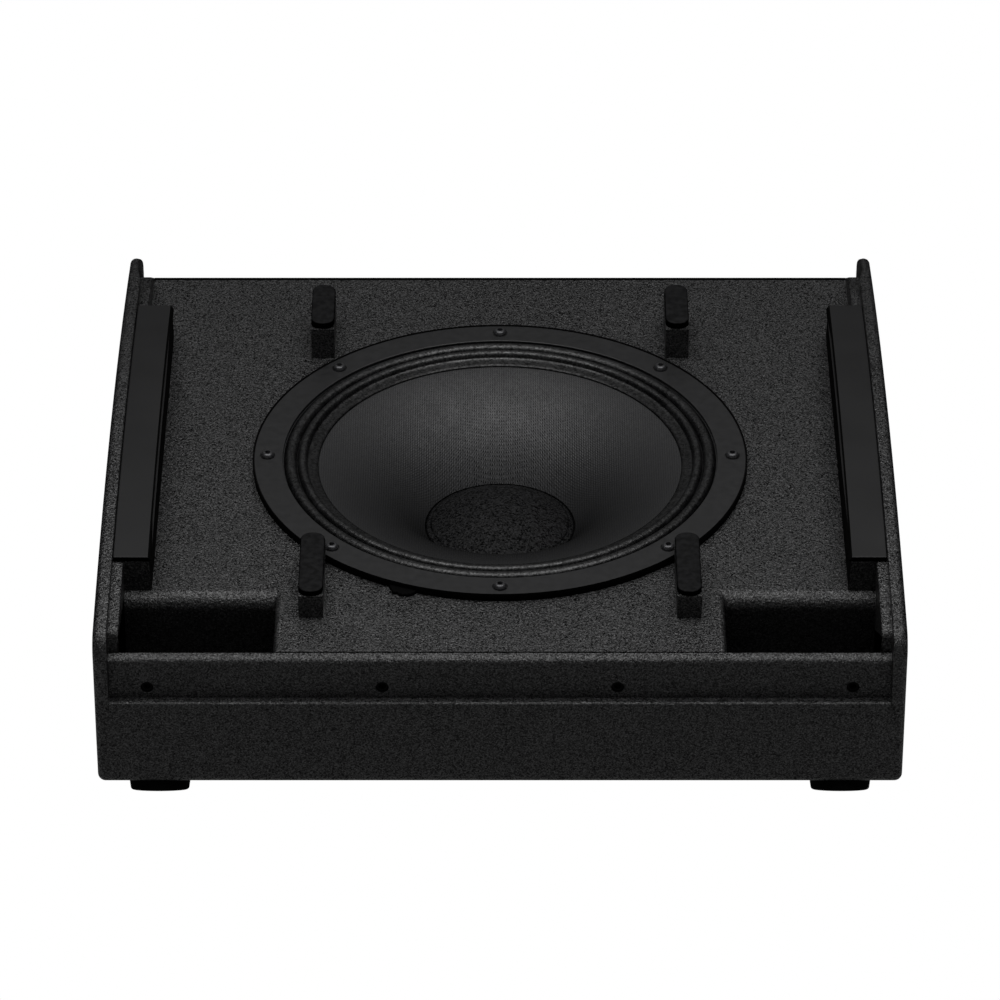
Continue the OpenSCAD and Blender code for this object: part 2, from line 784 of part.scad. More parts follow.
module plate_screw_places() {
    half = [plate_size[0] / 2 - plate_screw_in[0], plate_size[2] / 2 - plate_screw_in[1]];
    for (x = [-1, 1], z = [-1, 1])
        translate([x * half[0], plate_y + plate_size[1], connector_z + z * half[1]])
            rotate([-90, 0, 0]) children();
}

module socket_places() {
    for (x = [-socket_x, socket_x]) translate([x, plate_y + plate_size[1], connector_z])
        rotate([-90, 0, 0]) children();
}

// Two opposite corners of each socket's flange
module socket_screw_places() {
    socket_places() for (side = [-1, 1])
        translate([side * socket_screw[0], side * socket_screw[1], 0]) children();
}

module connector_plate() {
    color("#202022") difference() {
        translate([-plate_size[0] / 2, plate_y, connector_z - plate_size[2] / 2]) cube(plate_size);
        socket_places() translate([0, 0, -10]) cylinder(r = 12.2, h = 20);
        socket_screw_places() translate([0, 0, -10]) cylinder(r = 1.7, h = 20, $fn = 24);
        plate_screw_places() translate([0, 0, -10]) cylinder(r = 1.8, h = 20, $fn = 24);
    }
}

// Panel socket with a round keyed well and a centre post
module input_sockets() {
    well_depth = 18;
    color("#1a2230") difference() {
        socket_places() {
            translate([-socket_size[0] / 2, -socket_size[1] / 2, 0]) cube(socket_size);
            translate([0, 0, -socket_len]) cylinder(r = 12, h = socket_len);
        }
        socket_places() {
            ring(6.2, 10.4, socket_size[2] - well_depth, socket_size[2] + 1);
            translate([8, -1.5, socket_size[2] - well_depth]) cube([3.4, 3, well_depth + 1]);
        }
        socket_screw_places() translate([0, 0, -5]) cylinder(r = 1.7, h = 20, $fn = 24);
    }
}

module connector_screws() {
    color("#2a2a2c") {
        plate_screw_places() button_screw(3.4, 2, 1.55, 9, 1.3);
        socket_screw_places() translate([0, 0, socket_size[2]]) button_screw(2.8, 1.8, 1.45, 8, 1.1);
    }
}

// ---- Handles ----

// Puts a shape drawn flat, facing out, on the right side panel at the handle
module on_handle(depth) {
    translate([half_w - depth, handle_y, handle_z]) rotate([90, 0, 90]) children();
}

module handle_plate(spread, depth, thick) {
    on_handle(depth) linear_extrude(thick)
        polygon(rounded_rect(handle_size[0] + 2 * spread, handle_size[1] + 2 * spread, 16 + spread));
}

module handle_screw_places() {
    for (y = [-1, 1], z = [-1, 1])
        on_handle(handle_rebate - sheet_t)
            translate([y * (handle_size[0] + handle_flange) / 2, z * (handle_size[1] / 2 - 18), 0])
                children();
}

// Recessed cup whose flange lies in a rebate in the panel's outer face
module handle_cup_right() {
    color("#161617") difference() {
        union() {
            handle_plate(-0.4, handle_depth, handle_depth - handle_rebate + 1);
            handle_plate(handle_flange - 0.4, handle_rebate, sheet_t);
        }
        handle_plate(-0.4 - sheet_t, handle_depth - sheet_t, handle_depth);
        handle_screw_places() translate([0, 0, -10]) cylinder(r = 2, h = 20, $fn = 24);
    }
}

module handle_cup_left() {
    mirror([1, 0, 0]) handle_cup_right();
}

module handle_bars() {
    bar_r = 8;
    length = handle_size[0] - 1 - 2 * sheet_t;
    color("#111112") for (side = [0, 1]) mirror([side, 0, 0])
        translate([half_w - 16, handle_y - length / 2, handle_z + 14]) rotate([-90, 0, 0])
            cylinder(r = bar_r, h = length);
}

module handle_screws() {
    color("#2a2a2c") for (side = [0, 1]) mirror([side, 0, 0])
        handle_screw_places() button_screw(3.4, 1.5, 1.7, 12, 1.3);
}

// ---- Feet and lining ----

// Feet stand just inside the bottom's front and rear edges
module foot_places() {
    front_y = at(front_s, h_at_z(front_s, foot_h))[0] + foot_r + 3;
    for (x = [-foot_x, foot_x], y = [front_y, rear_foot_y - foot_r - 3]) translate([x, y, 0]) children();
}

module feet() {
    color("#0e0e0f") foot_places() turned([[2.8, 4.6], [7, 4.6], [7, 0], [foot_r - 1.5, 0],
        [foot_r - 0.4, 0.8], [foot_r, 2.4], [foot_r, foot_h], [2.8, foot_h]]);
}

module foot_screws() {
    color("#8c8c8e") foot_places() turned([[0, 2.2], [4.2, 2.2], [5.2, 4.6], [2.4, 4.6], [2.4, foot_h + 14],
        [0, foot_h + 15]]);
}

// Absorbent pads on the rear panel and on the bottom panel
module damping_lining() {
    pad_t = 20;
    inner_rear = rear_y - panel_t;
    color("#c9c4b4") {
        translate([-250, inner_rear - pad_t - gap, 262]) cube([500, pad_t, 100]);
        translate([-60, -60, floor_panel_z + gap]) cube([330, 150, pad_t]);
    }
}

side_panel_left();
side_panel_right();
baffle();
front_rail();
lower_front_panel();
bottom_panel();
top_panel();
rear_panel();
rear_lower_panel();
port_duct_left();
port_duct_right();
cross_brace();
grille_cleat_left();
grille_cleat_right();
grille_strip_left();
grille_strip_right();
post_blocks();
post_pads();
grille_inserts();
baffle_gasket();
driver_frame();
front_ring();
driver_screws();
tee_nuts();
surround();
cone();
dust_dome();
coil_former();
voice_coil();
spider();
top_plate();
magnet_ring();
yoke();
hf_horn();
hf_pole_piece();
hf_magnet();
hf_top_plate();
hf_phase_plug();
hf_diaphragm();
hf_coil();
hf_cover();
driver_terminals();
crossover_board();
crossover_standoffs();
inductors();
capacitors();
resistors();
internal_wiring();
connector_plate();
input_sockets();
connector_screws();
handle_cup_left();
handle_cup_right();
handle_bars();
handle_screws();
feet();
foot_screws();
damping_lining();
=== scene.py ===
"""Looks of the stage monitor wedge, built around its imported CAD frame.

Lengths are millimetres, turned into metres where a mesh is made. Baffle coordinates are (x, s, h): s runs up the
baffle from the driver's centre and h stands up from the baffle's face. Sizes are read from the CAD nodes.
"""

import json
import math

import bmesh
import bpy
import numpy as np
from mathutils import Matrix, Vector
from mathutils import noise as mnoise


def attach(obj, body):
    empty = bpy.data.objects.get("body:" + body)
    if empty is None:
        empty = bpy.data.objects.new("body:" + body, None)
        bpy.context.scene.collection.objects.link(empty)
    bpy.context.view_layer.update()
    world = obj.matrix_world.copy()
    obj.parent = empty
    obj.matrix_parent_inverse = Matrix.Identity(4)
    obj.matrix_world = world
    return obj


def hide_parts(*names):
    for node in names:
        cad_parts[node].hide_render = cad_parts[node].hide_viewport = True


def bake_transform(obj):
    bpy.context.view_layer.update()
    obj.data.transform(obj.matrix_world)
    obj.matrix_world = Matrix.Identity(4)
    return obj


MM = 0.001
TURNS = 256  # facets around a large round piece
SMALL_TURNS = 40  # facets around a screw or a hole
CABINET = "cabinet"
CONE_BODY = "cone_assembly"
HF_BODY = "hf_assembly"

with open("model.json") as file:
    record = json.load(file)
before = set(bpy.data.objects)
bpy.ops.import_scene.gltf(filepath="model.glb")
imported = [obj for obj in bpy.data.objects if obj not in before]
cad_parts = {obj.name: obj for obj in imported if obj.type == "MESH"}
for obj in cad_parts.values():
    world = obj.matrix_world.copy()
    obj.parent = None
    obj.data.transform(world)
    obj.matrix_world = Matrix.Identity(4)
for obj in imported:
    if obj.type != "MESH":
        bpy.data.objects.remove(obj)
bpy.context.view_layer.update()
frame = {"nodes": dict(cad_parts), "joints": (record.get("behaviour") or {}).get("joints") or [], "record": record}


# ---- Reading the frame ----


def cad_points(node):
    """A CAD node's vertices in millimetres."""
    mesh = frame["nodes"][node].data
    flat = np.empty(len(mesh.vertices) * 3, np.float32)
    mesh.vertices.foreach_get("co", flat)
    return flat.reshape(-1, 3).astype(float) / MM


travel = next(j for j in frame["joints"] if j["child"] == CONE_BODY)
RISE = np.array(travel["axis"], float) / np.linalg.norm(travel["axis"])
SLOPE = np.array([0, RISE[2], -RISE[1]])
ring_s = cad_points("front_ring") @ SLOPE
ORIGIN = SLOPE * (ring_s.min() + ring_s.max()) / 2 + RISE * (cad_points("baffle") @ RISE).max()
ON_BAFFLE = Matrix(
    [[1, 0, 0, ORIGIN[0] * MM], [0, SLOPE[1], RISE[1], ORIGIN[1] * MM], [0, SLOPE[2], RISE[2], ORIGIN[2] * MM], [0, 0, 0, 1]]
)


def baffle_points(node):
    """A CAD node's vertices as (x, s, h)."""
    out = cad_points(node) - ORIGIN
    return np.stack([out[:, 0], out @ SLOPE, out @ RISE], 1)


def span(node):
    """Lowest and highest (x, s, h) of a CAD node."""
    points = baffle_points(node)
    return points.min(0), points.max(0)


def radii(node):
    """Smallest and largest distance of a CAD node's vertices from the driver's axis."""
    points = baffle_points(node)
    r = np.hypot(points[:, 0], points[:, 1])
    return r.min(), r.max()


def world_span(node):
    """Lowest and highest world corners of a CAD node, in millimetres."""
    points = cad_points(node)
    return points.min(0), points.max(0)


def yz_to_sh(y, z):
    """Baffle coordinates (s, h) of a world (y, z)."""
    out = np.array([0, y, z]) - ORIGIN
    return float(out @ SLOPE), float(out @ RISE)


def sh_to_yz(s, h):
    """World (y, z) of baffle coordinates (s, h)."""
    out = ORIGIN + SLOPE * s + RISE * h
    return float(out[1]), float(out[2])


def section(node, x):
    """The outlines, as lists of (y, z), that bound the flat face of a CAD node lying in the plane of that x."""
    bm = bmesh.new()
    bm.from_mesh(frame["nodes"][node].data)
    bmesh.ops.remove_doubles(bm, verts=bm.verts, dist=2e-6)
    near = 0.02 * MM
    flat = [f for f in bm.faces if all(abs(v.co.x - x * MM) < near for v in f.verts)]
    inside = set(flat)
    follows = {}
    for face in flat:
        for loop in face.loops:
            if sum(f in inside for f in loop.edge.link_faces) == 1:
                follows[loop.vert] = loop.link_loop_next.vert
    loops = []
    while follows:
        start, nxt = follows.popitem()
        path = [start]
        while nxt is not start and nxt in follows:
            path.append(nxt)
            nxt = follows.pop(nxt)
        loops.append(counterclockwise([(v.co.y / MM, v.co.z / MM) for v in path]))
    bm.free()
    return sorted(loops, key=area, reverse=True)


# ---- Outlines ----


def area(outline):
    pairs = zip(outline, outline[1:] + outline[:1])
    return sum(a[0] * b[1] - b[0] * a[1] for a, b in pairs) / 2


def counterclockwise(outline):
    return outline if area(outline) > 0 else outline[::-1]


def arc(center, radius, start, end, count):
    """Points on an arc, angles in degrees, both ends included."""
    steps = [math.radians(start + (end - start) * k / count) for k in range(count + 1)]
    return [(center[0] + radius * math.cos(a), center[1] + radius * math.sin(a)) for a in steps]


def rounded(outline, corner_r, count=6):
    """The outline with its corners rounded; corner_r is one radius or a list of them, 0 for a sharp corner."""
    size = len(outline)
    sizes = corner_r if isinstance(corner_r, (list, tuple)) else [corner_r] * size
    out = []
    for i, b in enumerate(outline):
        a, c, r = outline[i - 1], outline[(i + 1) % size], sizes[i]
        u, v = Vector((a[0] - b[0], a[1] - b[1])), Vector((c[0] - b[0], c[1] - b[1]))
        half = u.angle(v) / 2 if r > 0 else 0
        if r <= 0 or half > math.radians(88):
            out.append(tuple(b))
            continue
        reach = min(r / math.tan(half), 0.45 * u.length, 0.45 * v.length)
        r = reach * math.tan(half)
        u.normalize()
        v.normalize()
        mid = Vector(b) + (u + v).normalized() * r / math.sin(half)
        first = Vector(b) + u * reach - mid
        last = Vector(b) + v * reach - mid
        turn = first.angle_signed(last)
        start = math.atan2(first.y, first.x)
        out += [
            (mid.x + r * math.cos(start - turn * k / count), mid.y + r * math.sin(start - turn * k / count))
            for k in range(count + 1)
        ]
    return out


def inset(outline, depths):
    """The outline moved inwards, by a depth for each point."""
    size = len(outline)
    out = []
    for i, b in enumerate(outline):
        u = (Vector(b) - Vector(outline[i - 1])).normalized()
        v = (Vector(outline[(i + 1) % size]) - Vector(b)).normalized()
        n1, n2 = Vector((-u.y, u.x)), Vector((-v.y, v.x))
        move = (n1 + n2) / max(0.3, 1 + n1.dot(n2)) * depths[i]
        out.append((b[0] + move.x, b[1] + move.y))
    return out


def box_outline(width, height, corner_r, count=6):
    w, h = width / 2, height / 2
    return rounded([(-w, -h), (w, -h), (w, h), (-w, h)], corner_r, count)


# ---- Shapes: pairs of a vertex list and a face list ----


def combine(shapes):
    verts, faces = [], []
    for more, polygons in shapes:
        faces += [tuple(i + len(verts) for i in polygon) for polygon in polygons]
        verts += list(more)
    return verts, faces


def moved(shape, matrix):
    return [tuple(matrix @ Vector(v)) for v in shape[0]], shape[1]


def loft(loops, caps=True, ring=False):
    """A skin through loops of equal length, capped at both ends or joined back to the first loop."""
    size = len(loops[0])
    verts = [tuple(p) for loop in loops for p in loop]
    faces = []
    for k in range(len(loops) if ring else len(loops) - 1):
        low, high = k * size, (k + 1) % len(loops) * size
        faces += [(low + i, low + (i + 1) % size, high + (i + 1) % size, high + i) for i in range(size)]
    if caps and not ring:
        faces.append(tuple(reversed(range(size))))
        faces.append(tuple(range((len(loops) - 1) * size, len(loops) * size)))
    return verts, faces


def revolve(profile, turns=TURNS, ripple=None):
    """A closed (r, h) profile turned about the h axis. ripple(angle, r, h) may add to h."""
    loops = []
    for k in range(turns):
        a = 2 * math.pi * k / turns
        rise = [ripple(a, r, h) if ripple else 0 for r, h in profile]
        loops.append([(r * math.cos(a), r * math.sin(a), h + up) for (r, h), up in zip(profile, rise)])
    return loft(loops, ring=True)


def slab(outline, low_x, high_x, low_r, high_r, count=5):
    """A board across x with a (y, z) outline and rounded end edges; each radius is a number or a list."""
    size = len(outline)
    outline = counterclockwise(list(outline))
    loops = []
    for x, r, side in ((low_x, low_r, -1), (high_x, high_r, 1)):
        sizes = list(r) if isinstance(r, (list, tuple)) else [r] * size
        steps = range(count + 1) if side < 0 else range(count, -1, -1)
        for k in steps:
            a = math.pi / 2 * k / count
            inner = inset(outline, [q * (1 - math.sin(a)) for q in sizes])
            loops.append([(x - side * q * (1 - math.cos(a)), y, z) for (y, z), q in zip(inner, sizes)])
    return loft(loops)


def pillar(outline, low, high, low_r, high_r, count=4, crown=0):
    """A shape standing on an (x, s) outline between two heights, with rounded rims and a crowned top."""
    shape = slab([(p[0], p[1]) for p in outline], low, high, low_r, high_r, count)
    verts = [(y, z, x) for x, y, z in shape[0]]
    if crown:
        verts, faces = list(verts), shape[1][:-1]
        rim = verts[-len(outline):]
        mid = (sum(p[0] for p in rim) / len(rim), sum(p[1] for p in rim) / len(rim))
        rings = 6
        for k in range(1, rings + 1):
            t = k / rings
            keep = 1 - t if k < rings else 0.002
            rise = crown * math.sin(t * math.pi / 2)
            start = len(verts)
            verts += [(mid[0] + (p[0] - mid[0]) * keep, mid[1] + (p[1] - mid[1]) * keep, p[2] + rise) for p in rim]
            size = len(rim)
            last = start - size
            faces += [(last + i, last + (i + 1) % size, start + (i + 1) % size, start + i) for i in range(size)]
        faces.append(tuple(range(len(verts) - len(rim), len(verts))))
        return verts, faces
    return verts, shape[1]


def drum(radius, low, high, turns=SMALL_TURNS):
    """A plain cylinder, used to cut holes."""
    outline = [(radius * math.cos(2 * math.pi * k / turns), radius * math.sin(2 * math.pi * k / turns)) for k in range(turns)]
    return loft([[(x, y, low) for x, y in outline], [(x, y, high) for x, y in outline]])


# ---- Objects ----


def new_object(name, shape, sharp=None):
    """A mesh object from a shape in millimetres, with edges steeper than sharp degrees kept crisp."""
    mesh = bpy.data.meshes.new(name)
    mesh.from_pydata([tuple(c * MM for c in v) for v in shape[0]], [], shape[1])
    tidy_mesh(mesh, sharp)
    obj = bpy.data.objects.new(name, mesh)
    bpy.context.scene.collection.objects.link(obj)
    return obj


def tidy_mesh(mesh, sharp):
    bm = bmesh.new()
    bm.from_mesh(mesh)
    bmesh.ops.remove_doubles(bm, verts=bm.verts, dist=1e-6)
    bmesh.ops.dissolve_degenerate(bm, edges=bm.edges, dist=1e-7)
    bmesh.ops.recalc_face_normals(bm, faces=bm.faces)
    for face in bm.faces:
        face.smooth = True
    if sharp is not None:
        for edge in bm.edges:
            edge.smooth = not (len(edge.link_faces) != 2 or edge.calc_face_angle(0) > math.radians(sharp))
    bm.to_mesh(mesh)
    bm.free()


def carve(target, cutters, operation="DIFFERENCE", sharp=32):
    """Applies booleans to target and removes the cutting objects."""
    for cutter in cutters:
        change = target.modifiers.new("carve", "BOOLEAN")
        change.operation = operation
        change.solver = "MANIFOLD"
        change.object = cutter
    bpy.context.view_layer.update()
    seen = target.evaluated_get(bpy.context.evaluated_depsgraph_get())
    mesh = bpy.data.meshes.new_from_object(seen)
    target.modifiers.clear()
    target.data = mesh
    mesh.materials.clear()
    tidy_mesh(mesh, sharp)
    for cutter in cutters:
        bpy.data.objects.remove(cutter)
    return target


def dress(obj, look, body, nodes, flat_faces=False):
    """Gives a finished piece its material, its body and the CAD nodes that it stands for."""
    obj.data.materials.clear()
    obj.data.materials.append(look)
    if flat_faces:
        weigh = obj.modifiers.new("even_shading", "WEIGHTED_NORMAL")
        weigh.keep_sharp = True
    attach(obj, body)
    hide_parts(*nodes)
    return obj


# ---- Materials ----

DOME_RIM = 4.6  # width of the pleated ring around the dome


class Look:
    """A Principled material whose colour, roughness and bump come from procedural textures."""

    def __init__(self, name, color, rough, metal=0.0, specular=0.5):
        self.material = bpy.data.materials.new(name)
        self.material.use_nodes = True
        self.tree = self.material.node_tree
        self.shader = self.tree.nodes["Principled BSDF"]
        self.shader.inputs["Base Color"].default_value = (*color, 1)
        self.shader.inputs["Roughness"].default_value = rough
        self.shader.inputs["Metallic"].default_value = metal
        self.shader.inputs["Specular IOR Level"].default_value = specular
        self.color = color
        self.rough = rough
        self.coords = self.tree.nodes.new("ShaderNodeTexCoord").outputs["Object"]

    def node(self, kind, **settings):
        made = self.tree.nodes.new(kind)
        for key, value in settings.items():
            setattr(made, key, value)
        return made

    def link(self, source, target):
        self.tree.links.new(source, target)

    def noise(self, size, detail=3.0, rough=0.55, coords=None):
        made = self.node("ShaderNodeTexNoise")
        made.inputs["Scale"].default_value = 1 / (size * MM)
        made.inputs["Detail"].default_value = detail
        made.inputs["Roughness"].default_value = rough
        self.link(coords or self.coords, made.inputs["Vector"])
        return made.outputs["Fac"]

    def cells(self, size, feature="F1", coords=None):
        made = self.node("ShaderNodeTexVoronoi", feature=feature)
        made.inputs["Scale"].default_value = 1 / (size * MM)
        self.link(coords or self.coords, made.inputs["Vector"])
        return made.outputs["Distance"]

    def specks(self, size, coords=None):
        """A random value for each small cell, like grains of pigment."""
        made = self.node("ShaderNodeTexVoronoi", feature="F1")
        made.inputs["Scale"].default_value = 1 / (size * MM)
        self.link(coords or self.coords, made.inputs["Vector"])
        split = self.node("ShaderNodeSeparateColor")
        self.link(made.outputs["Color"], split.inputs[0])
        return split.outputs[0]

    def radius(self):
        """Distance from the driver's axis, in millimetres."""
        place = self.node("ShaderNodeNewGeometry").outputs["Position"]
        for operation, other in (("SUBTRACT", ORIGIN * MM), ("CROSS_PRODUCT", RISE / MM)):
            made = self.node("ShaderNodeVectorMath", operation=operation)
            self.link(place, made.inputs[0])
            made.inputs[1].default_value = tuple(float(c) for c in other)
            place = made.outputs[0]
        length = self.node("ShaderNodeVectorMath", operation="LENGTH")
        self.link(place, length.inputs[0])
        return length.outputs["Value"]

    def shade(self, factor):
        """Scales both the colour and the strength of reflections by factor."""
        colour = self.shader.inputs["Base Color"]
        scale = self.node("ShaderNodeVectorMath", operation="SCALE")
        if colour.links:
            self.link(colour.links[0].from_socket, scale.inputs[0])
        else:
            scale.inputs[0].default_value = self.color
        self.link(factor, scale.inputs["Scale"])
        self.link(scale.outputs[0], colour)
        level = self.shader.inputs["Specular IOR Level"]
        source = level.links[0].from_socket if level.links else level.default_value
        self.link(self.math("MULTIPLY", source, factor), level)

    def math(self, operation, a, b=0.0):
        made = self.node("ShaderNodeMath", operation=operation)
        for socket, value in zip(made.inputs, (a, b)):
            if isinstance(value, (int, float)):
                socket.default_value = value
            else:
                self.link(value, socket)
        return made.outputs[0]

    def scaled(self, x, y, z, coords=None):
        made = self.node("ShaderNodeMapping")
        made.inputs["Scale"].default_value = (x, y, z)
        self.link(coords or self.coords, made.inputs["Vector"])
        return made.outputs["Vector"]

    def axes(self, coords=None):
        made = self.node("ShaderNodeSeparateXYZ")
        self.link(coords or self.coords, made.inputs[0])
        return made.outputs

    def spread(self, value, low, high, to_low, to_high):
        made = self.node("ShaderNodeMapRange")
        self.link(value, made.inputs["Value"])
        for key, number in (("From Min", low), ("From Max", high), ("To Min", to_low), ("To Max", to_high)):
            made.inputs[key].default_value = number
        return made.outputs["Result"]

    def tint(self, value, dark, light, low=0.3, high=0.7):
        """Colour runs between dark and light times the base colour as value runs from low to high."""
        factor = self.spread(value, low, high, 0, 1)
        made = self.node("ShaderNodeMix", data_type="RGBA")
        self.link(factor, made.inputs["Factor"])
        made.inputs["A"].default_value = (*[c * dark for c in self.color], 1)
        made.inputs["B"].default_value = (*[c * light for c in self.color], 1)
        self.link(made.outputs["Result"], self.shader.inputs["Base Color"])

    def gloss(self, value, swing, low=0.3, high=0.7):
        """Roughness runs from rough - swing to rough + swing."""
        made = self.spread(value, low, high, self.rough - swing, self.rough + swing)
        self.link(made, self.shader.inputs["Roughness"])

    def slant(self, face_on, slanted):
        """A factor that runs from face_on to slanted as the surface turns away from the viewer."""
        weight = self.node("ShaderNodeLayerWeight")
        weight.inputs["Blend"].default_value = 0.5
        return self.spread(weight.outputs["Facing"], 0.0, 0.45, face_on, slanted)

    def edge_on(self, face_on, least):
        """Painted light and shade for cloth: a factor that falls the more edge-on the cloth is seen, where lit thread
        tops would show less.
        """
        weight = self.node("ShaderNodeLayerWeight")
        weight.inputs["Blend"].default_value = 0.5
        return self.spread(weight.outputs["Facing"], 0.0, 1.0, face_on, least)

    def darken_sides(self, specular, least=0.12, up=RISE):
        """Painted shade: lets colour and gloss fall away where the surface turns from the direction up."""
        facing = self.node("ShaderNodeNewGeometry").outputs["True Normal"]
        dot = self.node("ShaderNodeVectorMath", operation="DOT_PRODUCT")
        dot.inputs[1].default_value = tuple(float(c) for c in up)
        self.link(facing, dot.inputs[0])
        top = self.spread(dot.outputs["Value"], 0.45, 0.8, least, 1.0)
        self.link(self.math("MULTIPLY", top, specular), self.shader.inputs["Specular IOR Level"])
        source = self.shader.inputs["Base Color"].links[0].from_socket
        mix = self.node("ShaderNodeMix", data_type="RGBA")
        self.link(top, mix.inputs["Factor"])
        mix.inputs["A"].default_value = (0, 0, 0, 1)
        self.link(source, mix.inputs["B"])
        self.link(mix.outputs["Result"], self.shader.inputs["Base Color"])

    def flanks(self, least):
        """Painted shade: a factor that falls to least on faces turned to the left or right."""
        facing = self.node("ShaderNodeSeparateXYZ")
        self.link(self.node("ShaderNodeNewGeometry").outputs["True Normal"], facing.inputs[0])
        return self.spread(self.math("ABSOLUTE", facing.outputs[0]), 0.5, 0.9, 1.0, least)

    def bump(self, height, depth, strength=1.0):
        made = self.node("ShaderNodeBump")
        made.inputs["Strength"].default_value = strength
        made.inputs["Distance"].default_value = depth * MM
        self.link(height, made.inputs["Height"])
        self.link(made.outputs["Normal"], self.shader.inputs["Normal"])


def impact_paint(name="impact_paint", flanks=1.0):
    """Pebbled black cabinet paint whose grains vary at random in tone; that variation is raised at a slant as a painted
    glint, where the grains would catch the light unevenly.
    """
    look = Look(name, (0.0098, 0.0098, 0.0101), 0.37)
    pebbles = look.math("SUBTRACT", 1.0, look.cells(2.1, "SMOOTH_F1"))
    fine = look.noise(1.3, 2.0, 0.7)
    look.tint(fine, 0.5, 1.6, 0.36, 0.64)
    look.gloss(look.noise(45, 3.0), 0.03)
    grains = look.math("MULTIPLY", look.specks(0.85), look.spread(fine, 0.3, 0.7, 0.5, 1.5))
    # painted glint: the grains' contrast is halved face-on and raised at a slant
    swing = look.math("MULTIPLY", look.spread(grains, 0.0, 1.2, -1.0, 1.75), look.slant(0.5, 1.15))
    look.shade(look.math("MAXIMUM", look.math("ADD", swing, 0.98), 0.05))
    # flanks below 1 darkens the faces turned left or right: painted shade on the cleats' sides
    if flanks < 1:
        look.shade(look.flanks(flanks))
    look.bump(look.math("ADD", look.math("MULTIPLY", pebbles, 0.7), fine), 0.7)
    return look.material


def foam(name, color, patch, swing, rough, grain, specular):
    """Closed-cell foam: a skin with soft patches on top, and sides darkened as painted shade."""
    look = Look(name, color, rough, specular=specular)
    patches = look.noise(patch, 3.0, 0.5)
    look.tint(patches, 0.98, 1.02)
    look.gloss(patches, 0.05)
    look.bump(look.noise(0.7, 2.0), grain)
    # painted shade: the sides of the strips and pads go near black
    look.darken_sides(specular, 0.05)
    look.shade(look.spread(patches, 0.36, 0.64, 1 - swing, 1 + swing))
    return look.material


def satin_metal(name, color, rough, metal=0.0, patch=7.0, swing=0.15, grain=0.015, specular=0.5):
    """Painted or plated metal with slight clouding and orange peel."""
    look = Look(name, color, rough, metal, specular)
    cloud = look.noise(patch, 4.0, 0.6)
    look.tint(cloud, 1 - swing, 1 + swing, 0.35, 0.65)
    look.gloss(cloud, 0.06)
    look.bump(look.noise(0.9, 2.0), grain)
    return look.material


def woven(name, color, rough, pitch, depth, specular=0.3, contrast=0.5, face_on=1.25, edge_on=0.2):
    """Weave in the piece's own x and y: strong threads along y, crossed by finer ones that dot them."""
    look = Look(name, color, rough, specular=specular)
    across = look.axes()
    drift = look.math("MULTIPLY", look.noise(9, 2.0), 0.5)
    warp = look.math("SINE", look.math("ADD", look.math("MULTIPLY", across[0], math.pi / (pitch * MM)), drift))
    weft = look.math("SINE", look.math("ADD", look.math("MULTIPLY", across[1], math.pi / (1.25 * pitch * MM)), drift))
    crossed = look.math("MULTIPLY", look.math("MULTIPLY", warp, weft), 0.8)
    threads = look.math("ADD", look.math("MULTIPLY", warp, 0.7), crossed)
    fuzzy = look.math("ADD", threads, look.math("MULTIPLY", look.math("SUBTRACT", look.specks(1.0), 0.5), 1.4))
    look.gloss(look.noise(18, 3.0), 0.06)
    # painted light and shade: the weave's contrast and the cloth's colour and gloss rise where it is seen face-on and
    # fall where it is seen edge-on
    weave = look.math("MULTIPLY", look.math("MULTIPLY", fuzzy, contrast), look.edge_on(1.0, -0.6))
    look.shade(look.math("MAXIMUM", look.math("ADD", weave, 1.0), 0.05))
    look.shade(look.edge_on(face_on, edge_on))
    look.bump(threads, depth)
    return look.material


def coated_cloth(inner_r):
    """Surround cloth: doped fabric with fine irregular wrinkles, and a dark glue line at its inner edge."""
    look = Look("coated_cloth", (0.0035, 0.0035, 0.0038), 0.34, specular=0.44)
    fine = look.noise(1.1, 3.0, 0.65)
    broad = look.noise(14, 3.0)
    look.tint(broad, 0.7, 1.4, 0.35, 0.65)
    look.gloss(broad, 0.08)
    look.shade(look.spread(look.math("ADD", look.specks(1.4), fine), 0.5, 1.6, 0.4, 1.7))
    look.shade(look.spread(look.radius(), inner_r + 0.6, inner_r + 1.6, 0.8, 1.0))
    look.shade(look.spread(look.radius(), inner_r + 6.0, inner_r + 8.0, 0.68, 1.0))
    look.bump(fine, 0.2)
    return look.material


def dome_cloth(out_r):
    """Open, matt, grainy cloth of the dust dome, with painted shade: dark lines in the crease inside its pleated rim
    and on its turned-down edge.
    """
    look = Look("dome_cloth", (0.006, 0.006, 0.0064), 0.7, specular=0.145)
    grain = look.noise(1.4, 2.0, 0.7)
    look.gloss(grain, 0.06)
    look.shade(look.spread(look.math("ADD", look.specks(1.2), grain), 0.5, 1.6, 0.1, 2.0))
    inner_crease_shade = look.spread(look.radius(), out_r - DOME_RIM - 1.6, out_r - DOME_RIM - 0.4, 1.0, 0.35)
    rim = look.spread(look.radius(), out_r - DOME_RIM - 0.4, out_r - DOME_RIM + 0.4, 0.0, 0.65)
    outer_edge_shade = look.spread(look.radius(), out_r - 2.2, out_r - 1.2, 0.0, 0.85)
    look.shade(look.math("SUBTRACT", look.math("ADD", inner_crease_shade, rim), outer_edge_shade))
    look.bump(grain, 0.3)
    return look.material


def plywood():
    """Bare birch: long grain along x with fine pores."""
    look = Look("bare_birch", (0.52, 0.36, 0.2), 0.6)
    grain = look.noise(6, 5.0, 0.6, look.scaled(0.06, 1, 1))
    look.tint(grain, 0.75, 1.2)
    look.gloss(grain, 0.08)
    look.bump(grain, 0.1)
    return look.material


